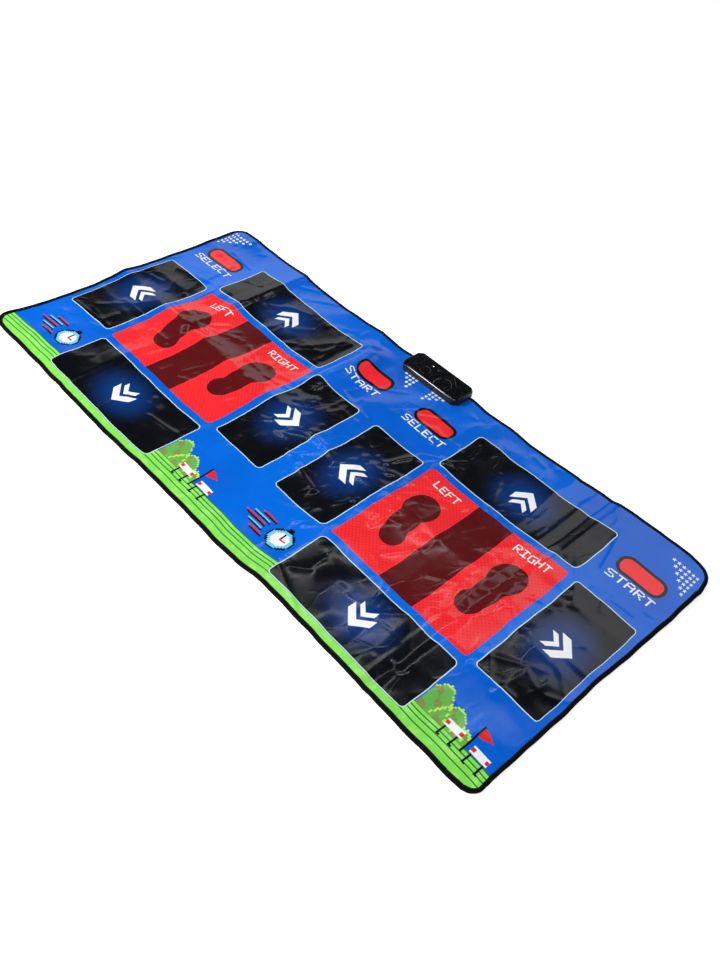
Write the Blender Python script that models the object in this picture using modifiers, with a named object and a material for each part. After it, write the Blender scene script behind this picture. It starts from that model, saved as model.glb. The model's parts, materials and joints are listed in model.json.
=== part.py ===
"""A folding two-player game mat with its control box, as separate pieces.

Metres, +Z up. X runs along the mat, from the first player's end to the second's.
Y points to the far edge, which carries the control box. The mat lies on Z = 0, and
the origin is under the middle of the mat. Each player stands on a foot field with
four arrow pads around it and two menu pads beyond it. Both ends of the mat fold in
over its middle, between the pads, each about an axis a little above the mat.
"""

import math

import bmesh
import bpy
from mathutils import Matrix, Vector

# Outline of the mat
MAT_LENGTH = 1.650
MAT_WIDTH = 0.782
MAT_CORNER_RADIUS = 0.035

# Clearances between pieces
LAYER_GAP = 0.0003
PAD_CLEARANCE = 0.0005
FOLD_GAP = 0.0008
BOX_GAP = 0.0005
SLIDE_GAP = 0.0003

# Room that a folded end leaves for the creases of the soft mat under it
CREASE_ROOM = 0.0228

# Thickness of each layer, from the floor up
BOTTOM_SHEET_THICKNESS = 0.0015
FILM_THICKNESS = 0.0002
FOAM_THICKNESS = 0.0020
TOP_SHEET_THICKNESS = 0.0006

# Binding tape that is folded round the edge
TAPE_THICKNESS = 0.0006
TAPE_WIDTH = 0.013

# Margins and gaps of the printed layout, and the pads' own sizes
END_MARGIN = 0.032
NEAR_MARGIN = 0.027
FAR_MARGIN = 0.083
MIDDLE_GAP = 0.054
PAD_GAP_X = 0.021
PAD_GAP_Y = 0.019
LONG_PAD_DEPTH = 0.157
LONG_PAD_OVERHANG = 0.003
SIDE_PAD_WIDTH = 0.162
PAD_CORNER_RADIUS = 0.012
FOOT_BAND_WIDTH = 0.100
FOOT_ZONE_MARGIN = 0.005
FOOT_ZONE_END_MARGIN = 0.002
MENU_PAD_WIDTH = 0.116
MENU_PAD_DEPTH = 0.052
MENU_PAD_RADIUS = 0.020
MENU_BOX_GAP = 0.049

# Control box on the far edge
BOX_WIDTH = 0.192
BOX_OVERHANG = 0.011
BOX_CHAMFER = 0.012
BOX_EDGE_ROUND = 0.003
BOX_TOP_ROUND = 0.003
BOX_WALL = 0.002
BOX_ROOF = 0.0022
BOX_FLOOR = 0.0030
FASCIA_THICKNESS = 0.0012
FASCIA_INSET = 0.0035
CLAMP_DEPTH = 0.014
CLAMP_SIDE = 0.012
LIP_CLEARANCE = 0.001
TAIL_ROOM = 0.005
REAR_ROOM = 0.0189

# Batteries, their tub and their door
BATTERY_COUNT = 3
BATTERY_LENGTH = 0.0435
BATTERY_RADIUS = 0.00525
BATTERY_SPACING = 0.0010
BATTERY_NUB_LENGTH = 0.0010
BATTERY_NUB_RADIUS = 0.0019
TUB_WALL = 0.0015
TUB_MARGIN = 0.0010
CONTACT_THICKNESS = 0.0005
CONTACT_HEIGHT = 0.0090
DOOR_THICKNESS = 0.0012
DOOR_LEDGE = 0.0030
DOOR_TONGUE_WIDTH = 0.0012
DOOR_TONGUE_THICKNESS = 0.0006
GRIP_COUNT = 3
GRIP_PITCH = 0.0030
GRIP_WIDTH = 0.0012
GRIP_DEPTH = 0.0004
GRIP_INSET = 0.0060

# Circuit board and what is on it
BOARD_WIDTH = 0.124
BOARD_NEAR_INSET = 0.006
BOARD_FAR_INSET = 0.005
BOARD_THICKNESS = 0.0016
POST_RADIUS = 0.0025
POST_INSET = 0.0050
CHIP_X = 0.025
CHIP_SIZE = 0.014
CHIP_THICKNESS = 0.0014
RADIO_WIDTH = 0.018
RADIO_DEPTH = 0.012
RADIO_THICKNESS = 0.0022
RADIO_INSET = 0.005
CONNECTOR_WIDTH = 0.016
CONNECTOR_DEPTH = 0.006
CONNECTOR_HEIGHT = 0.0025
CONNECTOR_X = 0.044

# Power button, its switch and the status light
BUTTON_X = -0.011
BUTTON_INSET = 0.022
BUTTON_RADIUS = 0.0050
BUTTON_FLANGE_RADIUS = 0.0064
BUTTON_FLANGE_THICKNESS = 0.0010
BUTTON_STEM_RADIUS = 0.0018
BUTTON_STEM_LENGTH = 0.0024
BUTTON_PROUD = 0.0006
BUTTON_TRAVEL = 0.0008
BUTTON_DISH_RADIUS = 0.0030
BUTTON_DISH_DEPTH = 0.0003
BUTTON_RIM_ROUND = 0.0004
CONTROL_CLEARANCE = 0.0004
LIGHT_X = -0.031
LIGHT_RADIUS = 0.0015
LIGHT_FLANGE_RADIUS = 0.0026
LIGHT_FLANGE_THICKNESS = 0.0008
LIGHT_PROUD = 0.0002
LIGHT_DOME = 0.0004
SWITCH_SIZE = 0.006
SWITCH_HEIGHT = 0.0012

# Screws that clamp the box together
SCREW_SIDE_INSET = 0.020
SCREW_NEAR_INSET = 0.007
SCREW_FAR_INSET = 0.012
SCREW_SHANK_RADIUS = 0.00125
SCREW_SHANK_LENGTH = 0.0120
SCREW_HEAD_RADIUS = 0.0028
SCREW_HEAD_HEIGHT = 0.0014
SCREW_HEAD_FACE_RADIUS = 0.0022
SCREW_TIP_RADIUS = 0.0005
SCREW_TIP_LENGTH = 0.0015
SCREW_CLEARANCE = 0.0003
SCREW_RECESS_DEPTH = 0.0020
BOSS_RADIUS = 0.0036

# Film tails that lead from the mat to the circuit board
TAIL_WIDTH = 0.014
TAIL_BEND = 0.0015
TAIL_LEAN = 0.0018

# The mat folds into three panels, so each layer is made in three pieces
PANELS = ("left", "centre", "right")

# Fineness of round shapes
ROUND_SIDES = 24
CORNER_SEGMENTS = 6
SMALL_CORNER_SEGMENTS = 4

# Heights of the layers
BOTTOM_SHEET_TOP = BOTTOM_SHEET_THICKNESS
LOWER_FILM_BASE = BOTTOM_SHEET_TOP + LAYER_GAP
LOWER_FILM_TOP = LOWER_FILM_BASE + FILM_THICKNESS
FOAM_BASE = LOWER_FILM_TOP + LAYER_GAP
FOAM_TOP = FOAM_BASE + FOAM_THICKNESS
UPPER_FILM_BASE = FOAM_TOP + LAYER_GAP
UPPER_FILM_TOP = UPPER_FILM_BASE + FILM_THICKNESS
TOP_SHEET_BASE = UPPER_FILM_TOP + LAYER_GAP
TOP_SHEET_TOP = TOP_SHEET_BASE + TOP_SHEET_THICKNESS
TAPE_SLOT_BASE = TAPE_THICKNESS
TAPE_SLOT_TOP = TOP_SHEET_TOP + LAYER_GAP
TAPE_TOP = TAPE_SLOT_TOP + TAPE_THICKNESS
FOLD_Z = TAPE_TOP + CREASE_ROOM / 2

# How far a cutter runs past what it cuts, and how near two places count as one
PASS_THROUGH = 0.050
SAME_PLACE = 0.000001

# Places that follow from the printed layout
EDGE_X = MAT_LENGTH / 2
EDGE_Y = MAT_WIDTH / 2
LAYER_INSET = TAPE_THICKNESS + LAYER_GAP
STATION_WIDTH = EDGE_X - END_MARGIN - MIDDLE_GAP / 2
STATION_X = MIDDLE_GAP / 2 + STATION_WIDTH / 2
FOOT_FIELD_LENGTH = STATION_WIDTH - 2 * (SIDE_PAD_WIDTH + PAD_GAP_X)
FOOT_FIELD_DEPTH = MAT_WIDTH - NEAR_MARGIN - FAR_MARGIN - 2 * (LONG_PAD_DEPTH + PAD_GAP_Y)
STATION_Y = -EDGE_Y + NEAR_MARGIN + LONG_PAD_DEPTH + PAD_GAP_Y + FOOT_FIELD_DEPTH / 2
LONG_PAD_LENGTH = FOOT_FIELD_LENGTH + 2 * LONG_PAD_OVERHANG
LONG_PAD_Y = FOOT_FIELD_DEPTH / 2 + PAD_GAP_Y + LONG_PAD_DEPTH / 2
SIDE_PAD_LENGTH = FOOT_FIELD_DEPTH
SIDE_PAD_INNER = FOOT_FIELD_LENGTH / 2 + PAD_GAP_X
SIDE_PAD_X = SIDE_PAD_INNER + SIDE_PAD_WIDTH / 2
FOOT_ZONE_WIDTH = (FOOT_FIELD_LENGTH - FOOT_BAND_WIDTH) / 2 - 2 * FOOT_ZONE_MARGIN
FOOT_ZONE_LENGTH = FOOT_FIELD_DEPTH - 2 * FOOT_ZONE_END_MARGIN
FOOT_ZONE_X = (FOOT_FIELD_LENGTH + FOOT_BAND_WIDTH) / 4
FOLD_X = STATION_X + (LONG_PAD_LENGTH / 2 + SIDE_PAD_INNER) / 2

# Heights inside the control box
DOOR_BASE = SLIDE_GAP
DOOR_TOP = DOOR_BASE + DOOR_THICKNESS
TONGUE_BASE = DOOR_TOP - DOOR_TONGUE_THICKNESS
DOOR_RECESS_TOP = DOOR_TOP + SLIDE_GAP
BATTERY_Z = DOOR_RECESS_TOP + LAYER_GAP + BATTERY_RADIUS
TUB_ROOF_BASE = BATTERY_Z + BATTERY_RADIUS + LAYER_GAP
TUB_TOP = TUB_ROOF_BASE + TUB_WALL
BOARD_BASE = TUB_TOP + LAYER_GAP
BOARD_TOP = BOARD_BASE + BOARD_THICKNESS
ON_BOARD = BOARD_TOP + LAYER_GAP
STEM_BASE = ON_BOARD + SWITCH_HEIGHT + BUTTON_TRAVEL + LAYER_GAP
FLANGE_BASE = STEM_BASE + BUTTON_STEM_LENGTH
FLANGE_TOP = FLANGE_BASE + BUTTON_FLANGE_THICKNESS
BOX_ROOF_BASE = FLANGE_TOP + LAYER_GAP
BOX_TOP = BOX_ROOF_BASE + BOX_ROOF
FASCIA_BASE = BOX_TOP + LAYER_GAP
FASCIA_TOP = FASCIA_BASE + FASCIA_THICKNESS

# Sizes of the battery tub and the door
BATTERY_REACH = BATTERY_LENGTH / 2 + BATTERY_NUB_LENGTH
CONTACT_X = BATTERY_REACH + LAYER_GAP + CONTACT_THICKNESS / 2
TUB_HALF_X = CONTACT_X + CONTACT_THICKNESS / 2 + LAYER_GAP
BATTERY_PITCH = 2 * BATTERY_RADIUS + BATTERY_SPACING
TUB_HALF_Y = (BATTERY_COUNT - 1) * BATTERY_PITCH / 2 + BATTERY_RADIUS + LAYER_GAP
DOOR_HALF_X = TUB_HALF_X + DOOR_LEDGE

# Places of the control box and of what it holds, from the near side back
BOX_DEPTH = CLAMP_DEPTH + TAIL_ROOM + TUB_MARGIN + DOOR_LEDGE + 2 * TUB_HALF_Y + REAR_ROOM
BOX_FAR_Y = EDGE_Y + BOX_OVERHANG
BOX_NEAR_Y = BOX_FAR_Y - BOX_DEPTH
NOTCH_X = BOX_WIDTH / 2 - CLAMP_SIDE
NOTCH_Y = BOX_NEAR_Y + CLAMP_DEPTH
FLOOR_X = NOTCH_X - LIP_CLEARANCE
FLOOR_Y = NOTCH_Y + TAIL_ROOM
DOOR_NEAR_Y = FLOOR_Y + TUB_MARGIN
DOOR_FAR_Y = BOX_FAR_Y
TUB_Y = DOOR_NEAR_Y + DOOR_LEDGE + TUB_HALF_Y
BOARD_NEAR_Y = FLOOR_Y + BOARD_NEAR_INSET
BOARD_FAR_Y = BOX_FAR_Y - BOARD_FAR_INSET
BOARD_Y = (BOARD_NEAR_Y + BOARD_FAR_Y) / 2
BOARD_DEPTH = BOARD_FAR_Y - BOARD_NEAR_Y
BUTTON_Y = BOX_FAR_Y - BUTTON_INSET
RADIO_X = -(BOARD_WIDTH - RADIO_WIDTH) / 2 + RADIO_INSET
MENU_PAD_Y = BOX_NEAR_Y - MENU_BOX_GAP - MENU_PAD_DEPTH / 2 - STATION_Y

COLLECTION_NAME = "track_mat"
CUTTER_COLLECTION_NAME = "cutters"


def clear_scene():
    """Empty the scene, whatever it held."""
    for scene_object in list(bpy.data.objects):
        bpy.data.objects.remove(scene_object, do_unlink=True)


def make_collection(name):
    """Return a new collection linked to the scene."""
    collection = bpy.data.collections.new(name)
    bpy.context.scene.collection.children.link(collection)
    return collection


def make_material(name, colour, roughness, metallic=0.0):
    """Return a plain material with one finish."""
    material = bpy.data.materials.new(name)
    material.use_nodes = True
    shader = material.node_tree.nodes["Principled BSDF"]
    shader.inputs["Base Color"].default_value = (*colour, 1.0)
    shader.inputs["Roughness"].default_value = roughness
    shader.inputs["Metallic"].default_value = metallic
    return material


clear_scene()
PARTS = make_collection(COLLECTION_NAME)
CUTTERS = make_collection(CUTTER_COLLECTION_NAME)
CUTTERS.hide_render = True

BLUE_VINYL = make_material("printed_vinyl", (0.01, 0.12, 0.62), 0.28)
PAD_VINYL = make_material("pad_vinyl", (0.012, 0.014, 0.03), 0.28)
RED_VINYL = make_material("foot_vinyl", (0.80, 0.03, 0.04), 0.30)
BACKING_CLOTH = make_material("backing_cloth", (0.03, 0.03, 0.035), 0.9)
FOAM = make_material("spacer_foam", (0.82, 0.82, 0.80), 0.85)
FILM = make_material("contact_film", (0.55, 0.60, 0.62), 0.35)
TAPE_CLOTH = make_material("binding_tape", (0.012, 0.012, 0.014), 0.8)
BOX_PLASTIC = make_material("box_plastic", (0.012, 0.012, 0.013), 0.35)
FASCIA_PLASTIC = make_material("fascia_plastic", (0.006, 0.006, 0.007), 0.08)
BUTTON_PLASTIC = make_material("button_plastic", (0.012, 0.012, 0.013), 0.25)
LIGHT_PLASTIC = make_material("light_plastic", (0.9, 0.92, 0.95), 0.2)
BOARD_LAMINATE = make_material("board_laminate", (0.02, 0.16, 0.07), 0.45)
CHIP_RESIN = make_material("chip_resin", (0.01, 0.01, 0.01), 0.5)
CONNECTOR_PLASTIC = make_material("connector_plastic", (0.75, 0.72, 0.62), 0.5)
STEEL = make_material("steel", (0.55, 0.56, 0.58), 0.35, 1.0)
BATTERY_JACKET = make_material("battery_jacket", (0.35, 0.36, 0.38), 0.35, 0.6)


def add_object(name, mesh_builder, collection, material=None):
    """Turn a bmesh into a named object and free it."""
    mesh = bpy.data.meshes.new(name)
    bmesh.ops.recalc_face_normals(mesh_builder, faces=mesh_builder.faces)
    mesh_builder.to_mesh(mesh)
    mesh_builder.free()
    new_object = bpy.data.objects.new(name, mesh)
    collection.objects.link(new_object)
    if material:
        mesh.materials.append(material)
    return new_object


def add_axis(name, place):
    """Add an empty on a fold's axis."""
    axis = bpy.data.objects.new(name, None)
    axis.location = place
    PARTS.objects.link(axis)
    return axis


def add_part(name, mesh_builder, material):
    """Add one piece of the mat."""
    return add_object(name, mesh_builder, PARTS, material)


def add_cutter(name, mesh_builder):
    """Add a solid that is only there to cut or join others."""
    cutter = add_object(name, mesh_builder, CUTTERS)
    cutter.hide_render = True
    cutter.display_type = "WIRE"
    return cutter


def combine(target, other, operation):
    """Cut one solid out of another, or join it on."""
    modifier = target.modifiers.new(other.name, "BOOLEAN")
    modifier.operation = operation
    modifier.solver = "EXACT"
    modifier.object = other


def cut(target, cutter):
    combine(target, cutter, "DIFFERENCE")


def join(target, added):
    combine(target, added, "UNION")


def smooth(part, angle_degrees=35.0):
    """Shade a round piece smooth, with its real edges left sharp."""
    part.data.shade_smooth()
    part.data.set_sharp_from_angle(angle=math.radians(angle_degrees))


def block(low, high, mesh_builder=None):
    """Return a box between two corners, added to a bmesh if one is given."""
    mesh_builder = mesh_builder or bmesh.new()
    low = Vector(low)
    high = Vector(high)
    created = bmesh.ops.create_cube(mesh_builder, size=1.0)
    placing = Matrix.Translation((low + high) / 2) @ Matrix.Diagonal((*(high - low), 1.0))
    bmesh.ops.transform(mesh_builder, matrix=placing, verts=created["verts"])
    return mesh_builder, created["verts"]


def upright_edges(verts, side_x=0):
    """Return the vertical edges among these vertices, of one X side if asked."""
    edges = {edge for vert in verts for edge in vert.link_edges}
    middle_x = sum(vert.co.x for vert in verts) / len(verts)
    upright = []
    for edge in edges:
        first, second = (vert.co for vert in edge.verts)
        is_upright = (first.xy - second.xy).length < SAME_PLACE
        if is_upright and (side_x == 0 or (first.x - middle_x) * side_x > 0):
            upright.append(edge)
    return upright


def round_edges(mesh_builder, edges, radius, segments):
    """Round a set of edges."""
    bmesh.ops.bevel(mesh_builder, geom=edges, offset=radius, offset_type="OFFSET",
                    segments=segments, profile=0.5, affect="EDGES", material=-1)


def rounded_block(low, high, radius, segments=SMALL_CORNER_SEGMENTS, mesh_builder=None, side_x=0):
    """Return a box whose upright corners are rounded."""
    mesh_builder, verts = block(low, high, mesh_builder)
    round_edges(mesh_builder, upright_edges(verts, side_x), radius, segments)
    return mesh_builder


def post(mesh_builder, x, y, radius, base, top):
    """Add an upright cylinder to a bmesh."""
    placing = Matrix.Translation((x, y, (base + top) / 2))
    bmesh.ops.create_cone(mesh_builder, cap_ends=True, segments=ROUND_SIDES, radius1=radius,
                          radius2=radius, depth=top - base, matrix=placing)
    return mesh_builder


def turned(name, profile, place, material, rotation=(0.0, 0.0, 0.0)):
    """Turn a profile, listed from the top down its outer side, about its own Z axis."""
    mesh_builder = bmesh.new()
    verts = [mesh_builder.verts.new((radius, 0.0, height)) for radius, height in profile]
    for upper, lower in zip(verts, verts[1:]):
        mesh_builder.edges.new((upper, lower))
    part = add_object(name, mesh_builder, PARTS, material)
    screw = part.modifiers.new("turn", "SCREW")
    screw.steps = ROUND_SIDES
    screw.render_steps = ROUND_SIDES
    screw.use_merge_vertices = True
    screw.merge_threshold = SAME_PLACE
    part.location = place
    part.rotation_euler = rotation
    return part


FOLD_AXES = {
    "left": add_axis("left_fold_axis", (-FOLD_X, 0.0, FOLD_Z)),
    "right": add_axis("right_fold_axis", (FOLD_X, 0.0, FOLD_Z)),
}


def carry(part, panel):
    """Hang a piece of an outer panel on that panel's fold axis, where it already lies."""
    if panel in FOLD_AXES:
        axis = FOLD_AXES[panel]
        part.parent = axis
        part.location = part.location - axis.location


def panel_at(x):
    """Return the panel that covers a place along the mat."""
    if abs(x) < FOLD_X:
        return "centre"
    return "left" if x < 0 else "right"


def panel_limits(panel, inset=0.0, overrun=0.0):
    """Return a panel's X limits: inset at the mat's ends, run on at the folds."""
    end_limit = FOLD_X + FOLD_GAP / 2 - overrun
    centre_limit = FOLD_X - FOLD_GAP / 2 + overrun
    if panel == "left":
        return -EDGE_X + inset, -end_limit
    if panel == "right":
        return end_limit, EDGE_X - inset
    return -centre_limit, centre_limit


def panel_slab(panel, base, top, inset=0.0, overrun=0.0):
    """Return one panel of a flat layer, with the mat's round corners at its ends."""
    low_x, high_x = panel_limits(panel, inset, overrun)
    low = (low_x, -EDGE_Y + inset, base)
    high = (high_x, EDGE_Y - inset, top)
    if panel == "centre":
        return block(low, high)[0]
    side_x = -1 if panel == "left" else 1
    return rounded_block(low, high, MAT_CORNER_RADIUS - inset, CORNER_SEGMENTS, side_x=side_x)


def pad_layout():
    """Return each switch's centre, size and corner radius, named for its player."""
    corner = PAD_CORNER_RADIUS
    station = {
        "up": (0.0, LONG_PAD_Y, LONG_PAD_LENGTH, LONG_PAD_DEPTH, corner),
        "down": (0.0, -LONG_PAD_Y, LONG_PAD_LENGTH, LONG_PAD_DEPTH, corner),
        "left": (-SIDE_PAD_X, 0.0, SIDE_PAD_WIDTH, SIDE_PAD_LENGTH, corner),
        "right": (SIDE_PAD_X, 0.0, SIDE_PAD_WIDTH, SIDE_PAD_LENGTH, corner),
        "foot_left": (-FOOT_ZONE_X, 0.0, FOOT_ZONE_WIDTH, FOOT_ZONE_LENGTH, corner),
        "foot_right": (FOOT_ZONE_X, 0.0, FOOT_ZONE_WIDTH, FOOT_ZONE_LENGTH, corner),
        "select": (-SIDE_PAD_X, MENU_PAD_Y, MENU_PAD_WIDTH, MENU_PAD_DEPTH, MENU_PAD_RADIUS),
        "start": (SIDE_PAD_X, MENU_PAD_Y, MENU_PAD_WIDTH, MENU_PAD_DEPTH, MENU_PAD_RADIUS),
    }
    layout = {}
    for player, side in (("p1", -1), ("p2", 1)):
        for switch, (x, y, width, depth, radius) in station.items():
            centre = (x + side * STATION_X, y + STATION_Y)
            layout[f"{player}_{switch}"] = (centre, width, depth, radius)
    return layout


def pad_material(switch):
    """Return the print under a player's foot, by the kind of switch."""
    if switch.endswith(("select", "start")) or "foot" in switch:
        return RED_VINYL
    return PAD_VINYL


def make_window_cutter(layout):
    """Cut the place of every switch out of the layers above the lower film."""
    mesh_builder = bmesh.new()
    base = LOWER_FILM_TOP + LAYER_GAP / 2
    for (x, y), width, depth, radius in layout.values():
        half_x = width / 2 + PAD_CLEARANCE
        half_y = depth / 2 + PAD_CLEARANCE
        rounded_block((x - half_x, y - half_y, base), (x + half_x, y + half_y, PASS_THROUGH),
                      radius + PAD_CLEARANCE, mesh_builder=mesh_builder)
    return add_cutter("window_cutter", mesh_builder)


def make_box_cutters():
    """Cut the place of the control box out of the mat."""
    notch = block((-NOTCH_X, NOTCH_Y, BOTTOM_SHEET_TOP + LAYER_GAP / 2),
                  (NOTCH_X, EDGE_Y + PASS_THROUGH, PASS_THROUGH))[0]
    footprint = block((-BOX_WIDTH / 2 - BOX_GAP, BOX_NEAR_Y - BOX_GAP, -PASS_THROUGH),
                      (BOX_WIDTH / 2 + BOX_GAP, EDGE_Y + PASS_THROUGH, LOWER_FILM_BASE - LAYER_GAP / 2))[0]
    return add_cutter("notch_cutter", notch), add_cutter("footprint_cutter", footprint)


def make_bottom_sheets(footprint_cutter):
    """Make the anti-slip backing, thinner at its rim where the tape goes under it."""
    rim_base = TAPE_THICKNESS + LAYER_GAP
    for panel in PANELS:
        sheet = add_part(f"{panel}_bottom_sheet",
                         panel_slab(panel, rim_base, BOTTOM_SHEET_TOP, LAYER_INSET), BACKING_CLOTH)
        middle = panel_slab(panel, 0.0, (rim_base + BOTTOM_SHEET_TOP) / 2, TAPE_WIDTH + LAYER_GAP)
        join(sheet, add_cutter(f"{panel}_sheet_middle", middle))
        if panel == "centre":
            cut(sheet, footprint_cutter)
        carry(sheet, panel)


def make_layers(window_cutter, notch_cutter):
    """Make the films, the foam spacer and the printed top sheet."""
    layers = (
        ("lower_film", LOWER_FILM_BASE, LOWER_FILM_TOP, FILM, False),
        ("foam_spacer", FOAM_BASE, FOAM_TOP, FOAM, True),
        ("upper_film", UPPER_FILM_BASE, UPPER_FILM_TOP, FILM, True),
        ("top_sheet", TOP_SHEET_BASE, TOP_SHEET_TOP, BLUE_VINYL, True),
    )
    for panel in PANELS:
        for name, base, top, material, has_windows in layers:
            layer = add_part(f"{panel}_{name}", panel_slab(panel, base, top, LAYER_INSET), material)
            if has_windows:
                cut(layer, window_cutter)
            if panel == "centre":
                cut(layer, notch_cutter)
            carry(layer, panel)


def make_pads(layout):
    """Make each switch as a plate of top sheet and film that gives under a foot."""
    for switch, ((x, y), width, depth, radius) in layout.items():
        low = (-width / 2, -depth / 2, UPPER_FILM_BASE)
        high = (width / 2, depth / 2, TOP_SHEET_TOP)
        pad = add_part(f"{switch}_pad", rounded_block(low, high, radius), pad_material(switch))
        pad.location = (x, y, 0.0)
        carry(pad, panel_at(x))


def make_tape():
    """Make the binding tape, folded over the edge and open towards the mat."""
    spans = {
        "left_tape": panel_slab("left", 0.0, TAPE_TOP),
        "right_tape": panel_slab("right", 0.0, TAPE_TOP),
    }
    low_x, high_x = panel_limits("centre")
    box_x = BOX_WIDTH / 2 + BOX_GAP
    tape_y = EDGE_Y - 2 * TAPE_WIDTH
    spans["near_tape"] = block((low_x, -EDGE_Y, 0.0), (high_x, -tape_y, TAPE_TOP))[0]
    spans["far_left_tape"] = block((low_x, tape_y, 0.0), (-box_x, EDGE_Y, TAPE_TOP))[0]
    spans["far_right_tape"] = block((box_x, tape_y, 0.0), (high_x, EDGE_Y, TAPE_TOP))[0]
    panel_of = {"left_tape": "left", "right_tape": "right"}
    cutters = {}
    for panel in PANELS:
        overrun = 2 * PASS_THROUGH
        slot = panel_slab(panel, TAPE_SLOT_BASE, TAPE_SLOT_TOP, TAPE_THICKNESS, overrun)
        mouth = panel_slab(panel, -PASS_THROUGH, PASS_THROUGH, TAPE_WIDTH, overrun)
        cutters[panel] = (add_cutter(f"{panel}_tape_slot", slot), add_cutter(f"{panel}_tape_mouth", mouth))
    for name, span in spans.items():
        panel = panel_of.get(name, "centre")
        tape = add_part(name, span, TAPE_CLOTH)
        for cutter in cutters[panel]:
            cut(tape, cutter)
        carry(tape, panel)


def box_slab(base, top, inset=0.0, mesh_builder=None):
    """Return a slab with the control box's cut-off corners."""
    low = (-BOX_WIDTH / 2 + inset, BOX_NEAR_Y + inset, base)
    high = (BOX_WIDTH / 2 - inset, BOX_FAR_Y - inset, top)
    mesh_builder, verts = block(low, high, mesh_builder)
    chamfer = BOX_CHAMFER - inset * (2 - math.sqrt(2))
    round_edges(mesh_builder, upright_edges(verts), chamfer, 1)
    upright = upright_edges(list(mesh_builder.verts))
    round_edges(mesh_builder, upright, BOX_EDGE_ROUND, 2)
    return mesh_builder


def screw_places():
    """Return the X and Y of each screw in the box."""
    screw_x = BOX_WIDTH / 2 - SCREW_SIDE_INSET
    near = FLOOR_Y + SCREW_NEAR_INSET
    far = BOX_FAR_Y - SCREW_FAR_INSET
    return {
        "near_left": (-screw_x, near),
        "near_right": (screw_x, near),
        "far_left": (-screw_x, far),
        "far_right": (screw_x, far),
    }


def post_places():
    """Return the X and Y of each post under the circuit board."""
    half_x = BOARD_WIDTH / 2 - POST_INSET
    half_y = BOARD_DEPTH / 2 - POST_INSET
    return [(side_x * half_x, BOARD_Y + side_y * half_y) for side_x in (-1, 1) for side_y in (-1, 1)]


def make_box_cover():
    """Make the upper shell, with bosses for the screws and holes for button and light."""
    rim = TAPE_SLOT_TOP
    cover_mesh = box_slab(rim, BOX_TOP)
    top_verts = {vert for vert in cover_mesh.verts if vert.co.z > BOX_TOP - SAME_PLACE}
    top_rim = [edge for edge in cover_mesh.edges if top_verts.issuperset(edge.verts)]
    round_edges(cover_mesh, top_rim, BOX_TOP_ROUND, 3)
    cover = add_part("box_cover", cover_mesh, BOX_PLASTIC)
    cut(cover, add_cutter("cover_cavity", box_slab(rim - PASS_THROUGH, BOX_ROOF_BASE, BOX_WALL)))
    bosses = bmesh.new()
    pilots = bmesh.new()
    boss_base = BOX_FLOOR + LAYER_GAP
    pilot_top = SCREW_RECESS_DEPTH + SCREW_SHANK_LENGTH + LAYER_GAP
    for x, y in screw_places().values():
        post(bosses, x, y, BOSS_RADIUS, boss_base, BOX_ROOF_BASE + BOX_ROOF / 2)
        post(pilots, x, y, SCREW_SHANK_RADIUS + SCREW_CLEARANCE, boss_base - PASS_THROUGH, pilot_top)
    join(cover, add_cutter("cover_bosses", bosses))
    cut(cover, add_cutter("cover_pilots", pilots))
    return cover


def make_control_holes():
    """Cut the holes of the button and of the light through the box's top."""
    mesh_builder = bmesh.new()
    base = BOX_ROOF_BASE - BOX_ROOF
    post(mesh_builder, BUTTON_X, BUTTON_Y, BUTTON_RADIUS + CONTROL_CLEARANCE, base, PASS_THROUGH)
    post(mesh_builder, LIGHT_X, BUTTON_Y, LIGHT_RADIUS + CONTROL_CLEARANCE, base, PASS_THROUGH)
    return add_cutter("control_holes", mesh_builder)


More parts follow.
